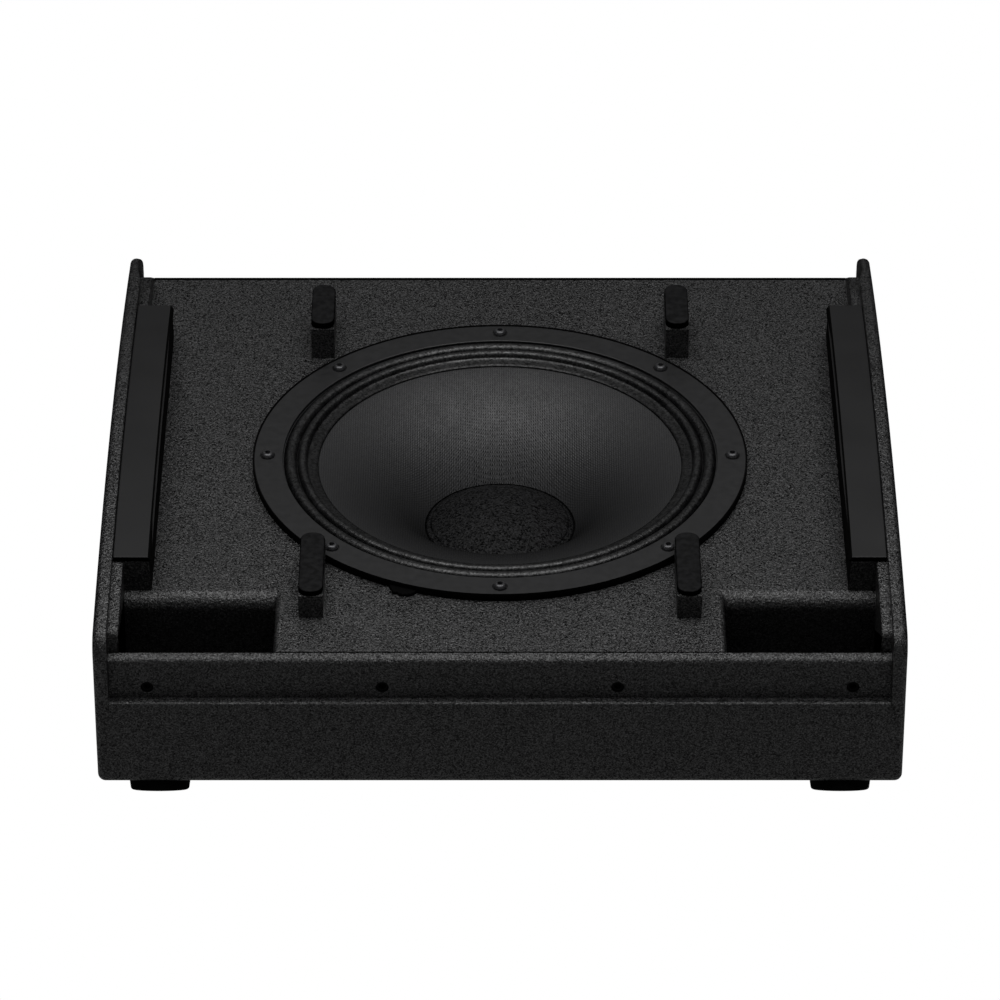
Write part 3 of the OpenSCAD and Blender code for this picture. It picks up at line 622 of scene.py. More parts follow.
def wound_wire(name, color, pitch, rough=0.35):
    """Turns of round wire, stacked along the piece's own z."""
    look = Look(name, color, rough, 0.9)
    ridges = look.math("ABSOLUTE", look.math("SINE", look.math("MULTIPLY", look.axes()[2], math.pi / (pitch * MM))))
    # painted shade and highlight: colour is darker in the grooves between turns and lighter on their crests
    look.tint(ridges, 0.55, 1.15, 0, 1)
    look.gloss(look.noise(4), 0.08)
    look.bump(ridges, pitch * 0.4)
    return look.material


def moulded(name, color, rough=0.5, grain=1.2, depth=0.06, specular=0.5):
    """Moulded plastic or rubber with a spark-eroded grain."""
    look = Look(name, color, rough, specular=specular)
    spark = look.noise(grain, 3.0, 0.6)
    look.tint(look.noise(25, 3.0), 0.82, 1.18)
    look.gloss(spark, 0.07)
    look.bump(spark, depth)
    return look.material


def wadding():
    """Fluffy polyester lining."""
    look = Look("wadding", (0.6, 0.57, 0.48), 0.95, specular=0.1)
    fibres = look.noise(3, 6.0, 0.75, look.scaled(1, 0.35, 1))
    look.tint(fibres, 0.7, 1.15)
    look.bump(fibres, 1.2)
    return look.material


PAINT = impact_paint()
# cleat paint with painted shade on its sides, which stand in shadow beside the strips
SHADED_CLEAT_PAINT = impact_paint("cleat_paint_flank_shade", 0.12)
STRIP = foam("strip_foam", (0.0088, 0.0088, 0.0092), 40, 0.03, 0.5, 0.005, 0.28)
PAD = foam("pad_foam", (0.0052, 0.0052, 0.0056), 5, 0.3, 0.7, 0.06, 0.11)
RING = satin_metal("ring_paint", (0.009, 0.009, 0.0095), 0.4, specular=0.43)
FRAME_PAINT = satin_metal("frame_paint", (0.006, 0.006, 0.0065), 0.5)
BLACK_SCREW = satin_metal("black_oxide", (0.05, 0.05, 0.053), 0.32, 0.6, 2.0, 0.2)
# near-black steel, also used as painted shade on the walls inside the rail's grille screw holes
DARK_STEEL_AND_HOLE_SHADE = satin_metal("dark_steel_and_hole_shade", (0.004, 0.004, 0.004), 0.6, specular=0.1)
CONE_WEAVE = woven("cone_weave", (0.026, 0.026, 0.027), 0.5, 0.92, 0.08)
CLOTH = coated_cloth(float(radii("surround")[0]))
DOME = dome_cloth(float(radii("dust_dome")[1]))
GASKET = moulded("gasket_foam", (0.0012, 0.0012, 0.0012), 0.9, specular=0.05)
RUBBER = moulded("foot_rubber", (0.002, 0.002, 0.002), 0.8, 1.5, 0.1, specular=0.03)
JOINT_SHADE = moulded("joint_shade", (0.0015, 0.0015, 0.0015), 0.9, specular=0.03)
PLASTIC = moulded("black_plastic", (0.012, 0.012, 0.013), 0.5)
SOCKET = moulded("socket_plastic", (0.012, 0.014, 0.02), 0.35, 2.0, 0.02)
ZINC = satin_metal("zinc_plate", (0.55, 0.55, 0.52), 0.35, 1.0, 3.0)
STEEL = satin_metal("black_steel", (0.07, 0.07, 0.075), 0.4, 0.8, 12.0)
FERRITE = moulded("ferrite", (0.045, 0.045, 0.048), 0.7, 1.0, 0.1)
BRASS = satin_metal("brass", (0.6, 0.45, 0.18), 0.35, 1.0, 2.0)
SPIDER = woven("spider_cloth", (0.42, 0.28, 0.09), 0.8, 1.1, 0.15, contrast=0.3, face_on=1.0, edge_on=0.8)
FORMER = moulded("amber_film", (0.45, 0.26, 0.07), 0.3, 3.0, 0.01)
COPPER = wound_wire("copper_wire", (0.7, 0.33, 0.16), 0.8)
FOIL = satin_metal("foil", (0.6, 0.61, 0.62), 0.3, 1.0, 5.0)
BOARD = moulded("circuit_board", (0.03, 0.12, 0.045), 0.4, 0.9, 0.03)
NYLON = moulded("nylon", (0.75, 0.72, 0.6), 0.45)
CAPACITOR = moulded("capacitor_film", (0.62, 0.4, 0.08), 0.25, 6.0, 0.02)
CEMENT = moulded("cement", (0.72, 0.7, 0.64), 0.85, 1.0, 0.12)
WIRE = moulded("wire_sleeve", (0.32, 0.02, 0.02), 0.35, 4.0, 0.02)
BIRCH = plywood()
WADDING = wadding()

KEPT_NODES = {
    "bottom_panel": PAINT, "port_duct_left": PAINT, "port_duct_right": PAINT, "cross_brace": BIRCH,
    "grille_inserts": DARK_STEEL_AND_HOLE_SHADE, "driver_frame": FRAME_PAINT, "tee_nuts": ZINC, "coil_former": FORMER,
    "voice_coil": COPPER, "top_plate": STEEL, "magnet_ring": FERRITE, "yoke": STEEL, "hf_horn": PLASTIC,
    "hf_pole_piece": STEEL, "hf_magnet": FERRITE, "hf_top_plate": STEEL, "hf_phase_plug": PLASTIC,
    "hf_diaphragm": FOIL, "hf_coil": COPPER, "hf_cover": FRAME_PAINT, "driver_terminals": SOCKET,
    "crossover_board": BOARD, "crossover_standoffs": NYLON, "inductors": COPPER, "capacitors": CAPACITOR,
    "resistors": CEMENT, "internal_wiring": WIRE, "foot_screws": ZINC,
}


def paint_kept_nodes():
    for name, look in KEPT_NODES.items():
        mesh = frame["nodes"][name].data
        mesh.materials.clear()
        mesh.materials.append(look)


# ---- Cabinet ----

LIP_OUTER_R = 5.0  # rounding of the lips' outer edge
PAINT_BUILD = 1.2  # thickness of the textured paint on the cabinet's sides
LIP_INNER_R = 1.0
LIP_NOSE_R = 20.0  # rounding of the lips' foremost corner, seen from the side
LEDGE_NOSE_R = 9.0
ARC_STEP = 4.0  # the CAD outline's points lie closer than this on its roundings
LIP_TOP_R = 4.0  # rounding of the lips' inner edge at their top end
LIP_THINS = 2.6  # how much thinner the lips are at their top ends
THIN_FROM_S, THIN_OVER_S = 232.0, 22.0
BOARD_EDGE_R = 1.2
FRONT_S = float(span("lower_front_panel")[0][1])
JOINT_S = float(span("baffle")[0][1])
RAIL_LOW = float(-(span("front_rail")[1][2] - span("front_rail")[0][2]))
HALF_W = float(world_span("side_panel_right")[1][0])
INNER_X = float(world_span("side_panel_right")[0][0])
LIP_X = float(world_span("front_rail")[1][0])
FOOT_Z = float(world_span("bottom_panel")[0][2])
TOP_Z = float(world_span("top_panel")[1][2])
REAR_Y = float(world_span("rear_panel")[1][1])


def blunted(outline, radius):
    """The side panel's outline with a larger rounding at its nose, the foremost point of its upper half."""
    size = len(outline)
    nose = min((i for i in range(size) if outline[i][1] > TOP_Z / 4), key=lambda i: outline[i][0])
    first = last = nose
    while math.dist(outline[first - 1], outline[first]) < ARC_STEP:
        first -= 1
    while math.dist(outline[(last + 1) % size], outline[last % size]) < ARC_STEP:
        last += 1
    a, b = Vector(outline[first - 1]), Vector(outline[first])
    c, d = Vector(outline[last % size]), Vector(outline[(last + 1) % size])
    u, v = b - a, c - d
    reach = (d - a).cross(v) / u.cross(v)
    rest = [outline[(last + 1 + k) % size] for k in range(size - (last - first + 1))]
    return rounded(rest + [tuple(a + u * reach)], [0] * len(rest) + [radius], 24)


def lip_layer():
    """The outer layer of the right side panel. Its inner edge is only rounded where it stands above the ledge."""
    outline = refined(blunted(section("side_panel_right", HALF_W)[0], LIP_NOSE_R), 5, 80)
    outer, inner = [], []
    for y, z in outline:
        low = min(1.0, max(0.0, (z - FOOT_Z) / 30))
        rear = min(1.0, max(0.0, (REAR_Y - y) / 40))
        s, h = yz_to_sh(y, z)
        outer.append(3.0 + (LIP_OUTER_R + 1.0 - low - 3.0) * rear)
        crest = min(1.0, max(0.0, (z - TOP_Z - 2) / 6))
        shows = h > 2 or z > TOP_Z + 0.5 or (s < JOINT_S and h > RAIL_FOOT + 0.5)
        inner.append(LIP_INNER_R + (LIP_TOP_R - LIP_INNER_R) * crest if shows else 0.0)
    verts, faces = slab(outline, LIP_X, HALF_W + PAINT_BUILD, inner, outer, 6)
    thinned = []
    for x, y, z in verts:
        s, h = yz_to_sh(y, z)
        past = min(1.0, max(0.0, (s - THIN_FROM_S) / THIN_OVER_S))
        thinned.append((x + LIP_THINS * past * (x < LIP_X + LIP_TOP_R + 1) * (HALF_W - x) / (HALF_W - LIP_X), y, z))
    return thinned, faces


def ledge_layer():
    """The inner layer of the right side panel, without the toe that the lower front panel covers."""
    outline = blunted(section("side_panel_right", INNER_X)[0], LEDGE_NOSE_R)
    kept = [p for p in outline if yz_to_sh(*p)[0] > JOINT_S + 0.05]
    low_s = JOINT_S + 0.02
    foot_h = (FOOT_Z - ORIGIN[2] - low_s * SLOPE[2]) / RISE[2]
    corner = sh_to_yz(low_s, foot_h)
    top_h = max(yz_to_sh(*p)[1] for p in kept if yz_to_sh(*p)[0] < JOINT_S + 12)
    front = sh_to_yz(low_s, top_h - 6)
    kept = [p for p in kept if yz_to_sh(*p)[0] > JOINT_S + 12 or yz_to_sh(*p)[1] > top_h - 6]
    nearest = min(range(len(kept)), key=lambda i: math.dist(kept[i], corner))
    outline = counterclockwise(kept[nearest:] + kept[:nearest])
    first = min(range(len(outline)), key=lambda i: math.dist(outline[i], front))
    outline = outline[first:] + outline[:first]
    if math.dist(outline[-1], front) < math.dist(outline[1], front):
        outline = outline[1:] + outline[:1]
    if math.dist(outline[0], corner) < math.dist(outline[-1], corner):
        outline = [front, corner] + outline
    else:
        outline = outline + [corner, front]
    return slab(counterclockwise(outline), INNER_X, LIP_X + LIP_THINS + 2, BOARD_EDGE_R, 0.0)


def handle_cutters(spread):
    """Solids that cut the handle's opening and its flange's rebate out of the right panel."""
    low, high = world_span("handle_cup_right")
    rim = flange_outline("handle_cup_right", 0.4)
    mid = ((low[1] + high[1]) / 2, (low[2] + high[2]) / 2)
    wall = [(y, z) for y, z in inset(counterclockwise(rim), [handle_flange() + 0.0] * len(rim))]
    opening = slab(wall, INNER_X - 2, HALF_W + 4, 0, 0, 1)
    rebate = slab(rim, HALF_W - 4.5, HALF_W + 4, 0, 0, 1)
    return [new_object("cut_a", opening), new_object("cut_b", rebate)]


def handle_flange():
    """Width of the handle cup's flange."""
    low, high = world_span("handle_cup_right")
    cup = cad_points("handle_cup_right")
    deep = cup[cup[:, 0] < high[0] - 10]
    return float((high[1] - low[1] - (deep[:, 1].max() - deep[:, 1].min())) / 2)


def flange_outline(node, grow):
    low, high = world_span(node)
    mid = ((low[1] + high[1]) / 2, (low[2] + high[2]) / 2)
    pts = box_outline(high[1] - low[1] + 2 * grow, high[2] - low[2] + 2 * grow, 30, 8)
    return [(mid[0] + y, mid[1] + z) for y, z in pts]


def build_side_panels():
    panel = new_object("side_panel_right", lip_layer(), 40)
    carve(panel, [new_object("ledge", ledge_layer())], "UNION")
    carve(panel, handle_cutters(0))
    mirror_pair(panel, "side_panel", PAINT, ("side_panel_right", "side_panel_left"), True)


def mirror_pair(right, stem, look, nodes, flat_faces=False):
    """Dresses the right piece and makes its mirror image on the left."""
    data = right.data.copy()
    data.transform(Matrix.Diagonal((-1, 1, 1, 1)))
    data.flip_normals()
    left = bpy.data.objects.new(nodes[1] + ".look", data)
    bpy.context.scene.collection.objects.link(left)
    right.name = nodes[0] + ".look"
    dress(right, look, CABINET, (nodes[0],), flat_faces)
    dress(left, look, CABINET, (nodes[1],), flat_faces)
    return right, left


def mouth_outline(depth, turn_r):
    """The right port's mouth at a depth below the baffle's face: wider at the top, where the edges are rounded."""
    side = float(world_span("port_duct_right")[0][0]) + DUCT_WALL
    back = float(span("port_duct_right")[1][1]) - DUCT_WALL
    side_r = PORT_SIDE_R
    side_x = side - (side_r - math.sqrt(max(0, side_r**2 - max(0, side_r - depth) ** 2)))
    back_s = back + (PORT_BACK_R - math.sqrt(max(0, PORT_BACK_R**2 - max(0, PORT_BACK_R - depth) ** 2)))
    pts = [(side_x, JOINT_S - 2), (INNER_X + 3, JOINT_S - 2), (INNER_X + 3, back_s), (side_x, back_s)]
    return rounded(pts, [0, 0, 0, turn_r], 6)


DUCT_WALL = 9.0
PORT_SIDE_R = 5.0
PORT_BACK_R = 12.0
PORT_CORNER_R = 4.0
TOP_JOINT = 3.2  # how far the baffle stops short of the top panel, whose front edge shows as a dark line


def build_baffle():
    low, high = span("baffle")
    top_s = high[1] - TOP_JOINT
    board = rounded([(low[1], low[2]), (top_s, low[2]), (top_s, high[2]), (low[1], high[2])], [0, 0, 0.8, 0.5])
    shape = slab(board, low[0], high[0], 0, 0, 1)
    baffle = new_object("baffle.look", shape)
    cutout_r = radii("baffle")[0]
    thick = float(high[2] - low[2])
    depths = [PORT_BACK_R * (1 - math.cos(math.pi / 2 * k / 16)) for k in range(17)]
    loops = [[(x, s, 1.5) for x, s in mouth_outline(0, PORT_CORNER_R)]]
    loops += [[(x, s, -d) for x, s in mouth_outline(d, PORT_CORNER_R)] for d in depths]
    loops += [[(x, s, -thick - 2) for x, s in mouth_outline(thick, PORT_CORNER_R)]]
    right = loft(loops)
    left = ([(-x, s, h) for x, s, h in right[0]], [tuple(reversed(f)) for f in right[1]])
    # slab runs across x with (s, h) as its outline, which is already the (x, s, h) order wanted here
    cutters = [new_object("mouth_r", right), new_object("mouth_l", left)]
    cutters.append(new_object("cutout", drum(cutout_r, low[2] - 2, 3, TURNS)))
    carve(baffle, cutters)
    holes = [moved(drum(4.2, low[2] - 2, 3, 24), Matrix.Translation((x, s, 0))) for x, s in screw_places()]
    carve(baffle, [new_object("holes", combine(holes))])
    baffle.matrix_world = ON_BAFFLE
    dress(baffle, PAINT, CABINET, ("baffle",), True)
    paint_faces(baffle, JOINT_SHADE, lambda at, facing: facing.y < -0.9 and at.y < low[1] + 0.05)


SCREW_COUNT = 8


def bolt_radius():
    """Radius of the bolt circle, from the screw nearest the top."""
    points = baffle_points("driver_screws")
    top = points[points[:, 1] > points[:, 1].max() - 3]
    head = points[(abs(points[:, 0]) < 8) & (points[:, 1] > 0)]
    return float((head[:, 1].min() + head[:, 1].max()) / 2) if len(top) else 0.0


def screw_places():
    r = bolt_radius()
    steps = [2 * math.pi * k / SCREW_COUNT + math.pi / 2 for k in range(SCREW_COUNT)]
    return [(r * math.cos(a), r * math.sin(a)) for a in steps]


def rail_hole_places():
    """Middle of each grille screw hole, from its insert: (x, h)."""
    points = baffle_points("grille_inserts")
    xs = sorted(set(round(float(m["pos_m"][0]) / MM, 2) for m in frame["record"]["mounts"] if m["kind"] == "threaded_hole"))
    h = float((points[:, 2].min() + points[:, 2].max()) / 2)
    return [(x, h) for x in xs]


RAIL_HOLE_R = 4.9
JOINT_LINE = 1.9  # width of the open joint between the rail and the baffle


def build_front_rail():
    face_s = float(span("front_rail")[0][1])
    back_s = JOINT_S - JOINT_LINE
    turn = [Vector((back_s, 0)), Vector((face_s, -0.1 * (back_s - face_s))), Vector((face_s, -0.85 * (back_s - face_s)))]
    edge = [turn[0] * (1 - t) ** 2 + turn[1] * 2 * t * (1 - t) + turn[2] * t * t for t in (k / 16 for k in range(17))]
    outline = [(face_s, RAIL_FOOT), (JOINT_S, RAIL_FOOT), (JOINT_S, -3), (back_s, -3)] + [tuple(point) for point in edge]
    rail = new_object("front_rail.look", slab(outline, -LIP_X, LIP_X, 0.3, 0.3, 2))
    backing_x = float(world_span("port_duct_right")[0][0])
    thick = -float(span("baffle")[0][2])
    low = float(span("front_rail")[0][2])
    back = [(JOINT_S - 1, low), (float(span("front_rail")[1][1]), low), (float(span("front_rail")[1][1]), -thick), (JOINT_S - 1, -thick)]
    carve(rail, [new_object("backing", slab(back, -backing_x, backing_x, 0, 0, 1))], "UNION")
    along_s = Matrix.Rotation(-math.pi / 2, 4, "X")
    holes = []
    for x, h in rail_hole_places():
        place = Matrix.Translation((x, 0, h)) @ along_s
        holes.append(moved(drum(RAIL_HOLE_R, face_s - 2, JOINT_S - 4), place))
        holes.append(moved(drum(3.4, JOINT_S - 1, JOINT_S + 9), place))
    for number, hole in enumerate(holes):
        carve(rail, [new_object("hole", hole)])
    rail.matrix_world = ON_BAFFLE
    dress(rail, PAINT, CABINET, ("front_rail",), True)

    def in_hole(at, facing):
        return at.y > face_s + 0.2 and any(math.hypot(at.x - x, at.z - h) < RAIL_HOLE_R + 0.1
                                           for x, h in rail_hole_places())

    # painted shade: the walls inside the grille screw holes go near black
    paint_faces(rail, DARK_STEEL_AND_HOLE_SHADE, in_hole)


def paint_faces(obj, look, chosen):
    """Gives the look to the faces for which chosen(middle in mm, normal) holds."""
    obj.data.materials.append(look)
    for face in obj.data.polygons:
        if chosen(face.center / MM, face.normal):
            face.material_index = len(obj.data.materials) - 1


def rail_foot():
    """Height of the foot of the rail's face: the top of the lower front panel."""
    points = baffle_points("lower_front_panel")
    return float(points[points[:, 1] < FRONT_S + 6][:, 2].max())


RAIL_FOOT = rail_foot()


def build_lower_front():
    outline = section("lower_front_panel", INNER_X)[0]
    board = new_object("lower_front_panel.look", slab(outline, -LIP_X, LIP_X, 0, 0, 1), 40)
    dress(board, PAINT, CABINET, ("lower_front_panel",), True)


def build_plain_panels():
    """Top, rear and lower rear boards, with eased edges that leave fine joint lines."""
    for name, eased in (("top_panel", 0.2), ("rear_lower_panel", 0.7)):
        outline = rounded(section(name, INNER_X)[0], eased, 3)
        board = new_object(name + ".look", slab(outline, -INNER_X, INNER_X, 0.5, 0.5, 2))
        dress(board, PAINT, CABINET, (name,), True)
        if name == "top_panel":
            paint_faces(board, JOINT_SHADE, lambda at, facing: facing.y < -0.5)
    outline = rounded(section("rear_panel", INNER_X)[0], 0.7, 3)
    board = new_object("rear_panel.look", slab(outline, -INNER_X, INNER_X, 0.5, 0.5, 2))
    low, high = world_span("connector_plate")
    mid_z = (low[2] + high[2]) / 2
    rebate = [(x, mid_z + z) for x, z in box_outline(high[0] - low[0] + 1, high[2] - low[2] + 1, 2)]
    window = [(x, mid_z + z) for x, z in box_outline(high[0] - low[0] - 28, high[2] - low[2] - 24, 2)]
    cutters = []
    for shape, from_y in ((rebate, low[1]), (window, REAR_Y - 30)):
        loops = [[(x, y, z) for x, z in shape] for y in (from_y, REAR_Y + 2)]
        cutters.append(new_object("cut", loft(loops)))
    carve(board, cutters)
    dress(board, PAINT, CABINET, ("rear_panel",), True)


# ---- Grille supports ----


FLARE = 2.8  # how much wider than the strips' faces the cleats under them are


def build_strips():
    """Painted cleats and the smooth foam strips on them, whose inner sides spread towards the cleats."""
    for stem, look, end, outer_end, flare_at_top in (
        ("grille_cleat", SHADED_CLEAT_PAINT, 0.2, 0.0, 0.6),
        ("grille_strip", STRIP, 0.9, 0.9, 0.0),
    ):
        node = stem + "_right"
        low, high = world_span(node)
        outline = refined(section(node, float(high[0]))[0], 12)
        verts, faces = slab(rounded(outline, end, 3), low[0], high[0], end, outer_end, 4)
        heights = [yz_to_sh(y, z) for _, y, z in verts]
        spread = []
        for (x, y, z), (s, h) in zip(verts, heights):
            near = [other for at, other in heights if abs(at - s) < 8]
            depth = (max(near) - h) / max(1.0, max(near) - min(near))
            inner = (high[0] - x) / (high[0] - low[0])
            spread.append((x - FLARE * inner * (flare_at_top + (0.95 - flare_at_top) * depth), y, z))
        for bar in mirror_pair(new_object(node, (spread, faces), 40), stem, look, (node, stem + "_left"), True):
            top = 0.8 if look is SHADED_CLEAT_PAINT else 2.0
            paint_faces(bar, JOINT_SHADE, lambda at, facing: (facing.x * at.x < 0 and abs(facing.x) > 0.4)
                        or facing.dot(Vector(RISE)) > top)


def refined(outline, step, most=8):
    """The outline with its long edges split, so that curved stretches shade evenly."""
    out = []
    for a, b in zip(outline, outline[1:] + outline[:1]):
        pieces = max(1, min(most, round(math.dist(a, b) / step)))
        out += [(a[0] + (b[0] - a[0]) * k / pieces, a[1] + (b[1] - a[1]) * k / pieces) for k in range(pieces)]
    return out


def groups(points, gap=8.0):
    """Splits a node's points into its separate solids, by clearances along x and then s."""
    out = []
    for axis_sets in _split(points, 0, gap):
        out += _split(axis_sets, 1, gap)
    return out


def _split(points, axis, gap):
    order = points[points[:, axis].argsort()]
    breaks = np.where(np.diff(order[:, axis]) > gap)[0]
    return np.split(order, breaks + 1)


def boxes_of(node, gap=8.0):
    """(lowest, highest) (x, s, h) of each separate solid in a node that has a few boxes far apart."""
    points = baffle_points(node)
    out = []
    for side in (points[points[:, 0] < 0], points[points[:, 0] > 0]):
        for end in (side[side[:, 1] < 0], side[side[:, 1] > 0]):
            out.append((end.min(0), end.max(0)))
    return out


def build_posts():
    blocks, pads = [], []
    for low, high in boxes_of("post_blocks"):
        outline = box_outline(high[0] - low[0], high[1] - low[1], 0.8, 3)
        mid = Matrix.Translation(((low[0] + high[0]) / 2, (low[1] + high[1]) / 2, 0))
        blocks.append(moved(pillar(outline, low[2], high[2], 0, 0.25), mid))
    for low, high in boxes_of("post_pads"):
        width, length = high[0] - low[0], high[1] - low[1]
        outline = box_outline(width, length, width / 2 * 0.98, 12)
        mid = Matrix.Translation(((low[0] + high[0]) / 2, (low[1] + high[1]) / 2, 0))
        pads.append(moved(pillar(outline, low[2], high[2] - 0.4, 0.5, 1.6, 5, 0.4), mid))
    for name, shapes, look in (("post_blocks", blocks, PAINT), ("post_pads", pads, PAD)):
        obj = new_object(name + ".look", combine(shapes), 40)
        obj.matrix_world = ON_BAFFLE
        dress(obj, look, CABINET, (name,), name == "post_blocks")


# ---- Driver ----


def at_screws(shape):
    return combine([moved(shape, Matrix.Translation((x, s, 0))) for x, s in screw_places()])


def build_ring():
    in_r, out_r = radii("front_ring")
    low, high = span("front_ring")
    profile = rounded([(in_r, low[2]), (out_r, low[2]), (out_r, high[2]), (in_r, high[2])], [0.2, 0.3, 0.7, 0.7], 5)
    ring = new_object("front_ring.look", revolve(profile), 50)
    recess = revolve([(0, high[2] - SINK), (SINK_R - 0.5, high[2] - SINK), (SINK_R, high[2] - SINK + 0.4),
                      (SINK_R, high[2] + 1), (0, high[2] + 1)], SMALL_TURNS)
    carve(ring, [new_object("recess", at_screws(recess))])
    carve(ring, [new_object("holes", at_screws(drum(3.3, low[2] - 1, high[2] + 1)))])
    ring.matrix_world = ON_BAFFLE
    dress(ring, RING, CABINET, ("front_ring",), True)


SINK = 0.9  # depth of the recess around each screw head
SINK_R = 6.1


def button_head(low, top, head_r, socket_r, shaft_r, shaft_low):
    """A button-head screw with a hexagon socket and a rounded rim, standing on the axis."""
    height = top - low
    profile = [(0, shaft_low), (shaft_r - 0.5, shaft_low), (shaft_r, shaft_low + 0.6), (shaft_r, low), (head_r - 0.25, low)]
    profile += [(head_r, low + 0.12 * height)]
    for k in range(8):
        a = math.pi / 2 * k / 7
        r = head_r * (0.42 + 0.58 * math.cos(a))
        profile.append((r, low + height * (0.22 + 0.78 * math.sin(a))))
    profile.append((0, top))
    head = revolve(profile, SMALL_TURNS)
    hexagon = [(socket_r * math.cos(math.pi / 3 * k), socket_r * math.sin(math.pi / 3 * k)) for k in range(6)]
    flare = [(x * 1.1, y * 1.1) for x, y in hexagon]
    floor = low + 0.3 * height
    socket = loft([[(x, y, floor) for x, y in hexagon], [(x, y, top - 0.25) for x, y in hexagon],
                   [(x, y, top + 0.3) for x, y in flare]])
    return head, socket


def build_driver_screws():
    low, high = span("driver_screws")
    ring_top = float(span("front_ring")[1][2])
    head, socket = button_head(ring_top - SINK, float(high[2]), 5.25, 2.35, 2.95, float(low[2]))
    screws = new_object("driver_screws.look", at_screws(head))
    carve(screws, [new_object("sockets", at_screws(socket))])
    screws.matrix_world = ON_BAFFLE
    dress(screws, BLACK_SCREW, CABINET, ("driver_screws",))


GASKET_SHOWS = 1.1  # thickness of the dark lip that the gasket is given around the ring's outer edge, which shows as a dark line there
COLLAR_RISE = 0.4  # how far that lip stands above the ring's face
GASKET_HIGH = 0.7  # how far the lip sits off centre, up the baffle


def build_gasket():
    """Foam ring under the frame, with a ragged tab that sticks out at the lower left."""
    in_r, _ = radii("baffle_gasket")
    low, high = span("baffle_gasket")
    out_r = float(radii("front_ring")[1]) + GASKET_SHOWS
    ring_r, collar = out_r - GASKET_SHOWS + 0.05, float(span("front_ring")[1][2]) + COLLAR_RISE
    profile = [(in_r, low[2]), (out_r, low[2]), (out_r, collar), (ring_r, collar), (ring_r, high[2]), (in_r, high[2])]
    verts, faces = revolve(rounded(profile, [0.3, 0.3, 0.4, 0, 0, 0.3], 3))
    ring = ([(x, s + GASKET_HIGH * (math.hypot(x, s) > ring_r + 0.3), h) for x, s, h in verts], faces)
    gasket = new_object("baffle_gasket.look", ring)
    tab_angle = math.radians(-112.5)
    reach, half = radii("baffle_gasket")[1] - out_r + 6.8, 12.0
    outline = []
    for k in range(33):
        t = -1 + k / 16
        rag = 0.7 * math.sin(9 * t) + 0.5 * math.sin(23 * t + 1) - 3.0 * (abs(t) > 0.45) * (t < 0)
        outline.append((out_r + reach * (1 - abs(t) ** 5) - 4 + rag * (1 - t * t) ** 0.5, half * t))
    outline = [(out_r - 8, -half)] + outline + [(out_r - 8, half)]
    tab = pillar(outline, float(low[2]) + 0.02, float(high[2]) + 1.2, 0.2, 0.5, 3)
    tab = moved(tab, Matrix.Rotation(tab_angle, 4, "Z"))
    carve(gasket, [new_object("tab", tab)], "UNION")
    carve(gasket, [new_object("holes", at_screws(drum(3.4, -1, 4)))])
    gasket.matrix_world = ON_BAFFLE
    dress(gasket, GASKET, CABINET, ("baffle_gasket",))


def half_round(mid_r, half, base, height, count):
    return [(mid_r - half * math.cos(math.pi * k / count), base + height * math.sin(math.pi * k / count)) for k in range(count + 1)]


def radial_blend(obj):
    """Places a ring of cloth on the baffle and bakes that placing into its mesh."""
    obj.matrix_world = ON_BAFFLE
    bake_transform(obj)


def build_surround():
    in_r, out_r = radii("surround")
    top = float(span("surround")[1][2])
    clamp_h = float(span("front_ring")[0][2])
    base = 2.2
    skin = 0.55
    face = [(in_r, cone_height(in_r) + 0.9), (in_r + 0.5, cone_height(in_r + 0.5) + 1.4)]
    face += [(in_r + t, cone_height(in_r + t) + 1.5) for t in (2.5, 4.5, 6.5)]
    face += [(153.2, 1.7)] + half_round(157.7, 3.9, base, 4.1, 14) + [(162.0, base - 0.5)]
    face += half_round(167.1, 4.8, base, top - base, 16)
    face += [(172.4, base - 1.6), (173.1, base - 1.2), (173.7, clamp_h - 0.2), (out_r, clamp_h - 0.02)]
    under = [(r, h - skin) for r, h in reversed(face)]
    wrinkle = lambda a, r, h: 0.10 * math.sin(173 * a) * math.exp(-((r - 167) / 3.4) ** 2) + 0.07 * math.sin(
        131 * a + 1.3) * math.exp(-((r - 157.7) / 2.8) ** 2)
    surround = new_object("surround.look", revolve(face + under, 520, wrinkle))
    radial_blend(surround)
    surround.data.materials.append(CLOTH)
    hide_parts("surround")


def cone_height(r):
    """Height of the cone's face at radius r, interpolated between the CAD cone's own points."""
    return float(np.interp(r, CONE_R, CONE_H))


def cone_profile():
    points = baffle_points("cone")
    r = np.hypot(points[:, 0], points[:, 1])
    steps = np.unique(np.round(r, 1))
    heights = [points[np.abs(r - step) < 0.06][:, 2].max() for step in steps]
    return steps, np.array(heights)


CONE_R, CONE_H = cone_profile()


def build_cone():
    in_r, out_r = CONE_R.min(), CONE_R.max()
    steps = np.linspace(in_r, out_r, 60)
    bend = np.polyfit(CONE_R, CONE_H, 4)
    heights = np.polyval(bend, steps)
    thick = 1.1
    face = [(float(r), float(h)) for r, h in zip(steps, heights)]
    back = [(r, h - thick) for r, h in reversed(face)]
    cone = new_object("cone.look", revolve(face + back, TURNS), 50)
    cone.matrix_world = ON_BAFFLE
    dress(cone, CONE_WEAVE, CONE_BODY, ("cone",))


DOME_SIDE = 1.2  # width of the dome's turned-down edge


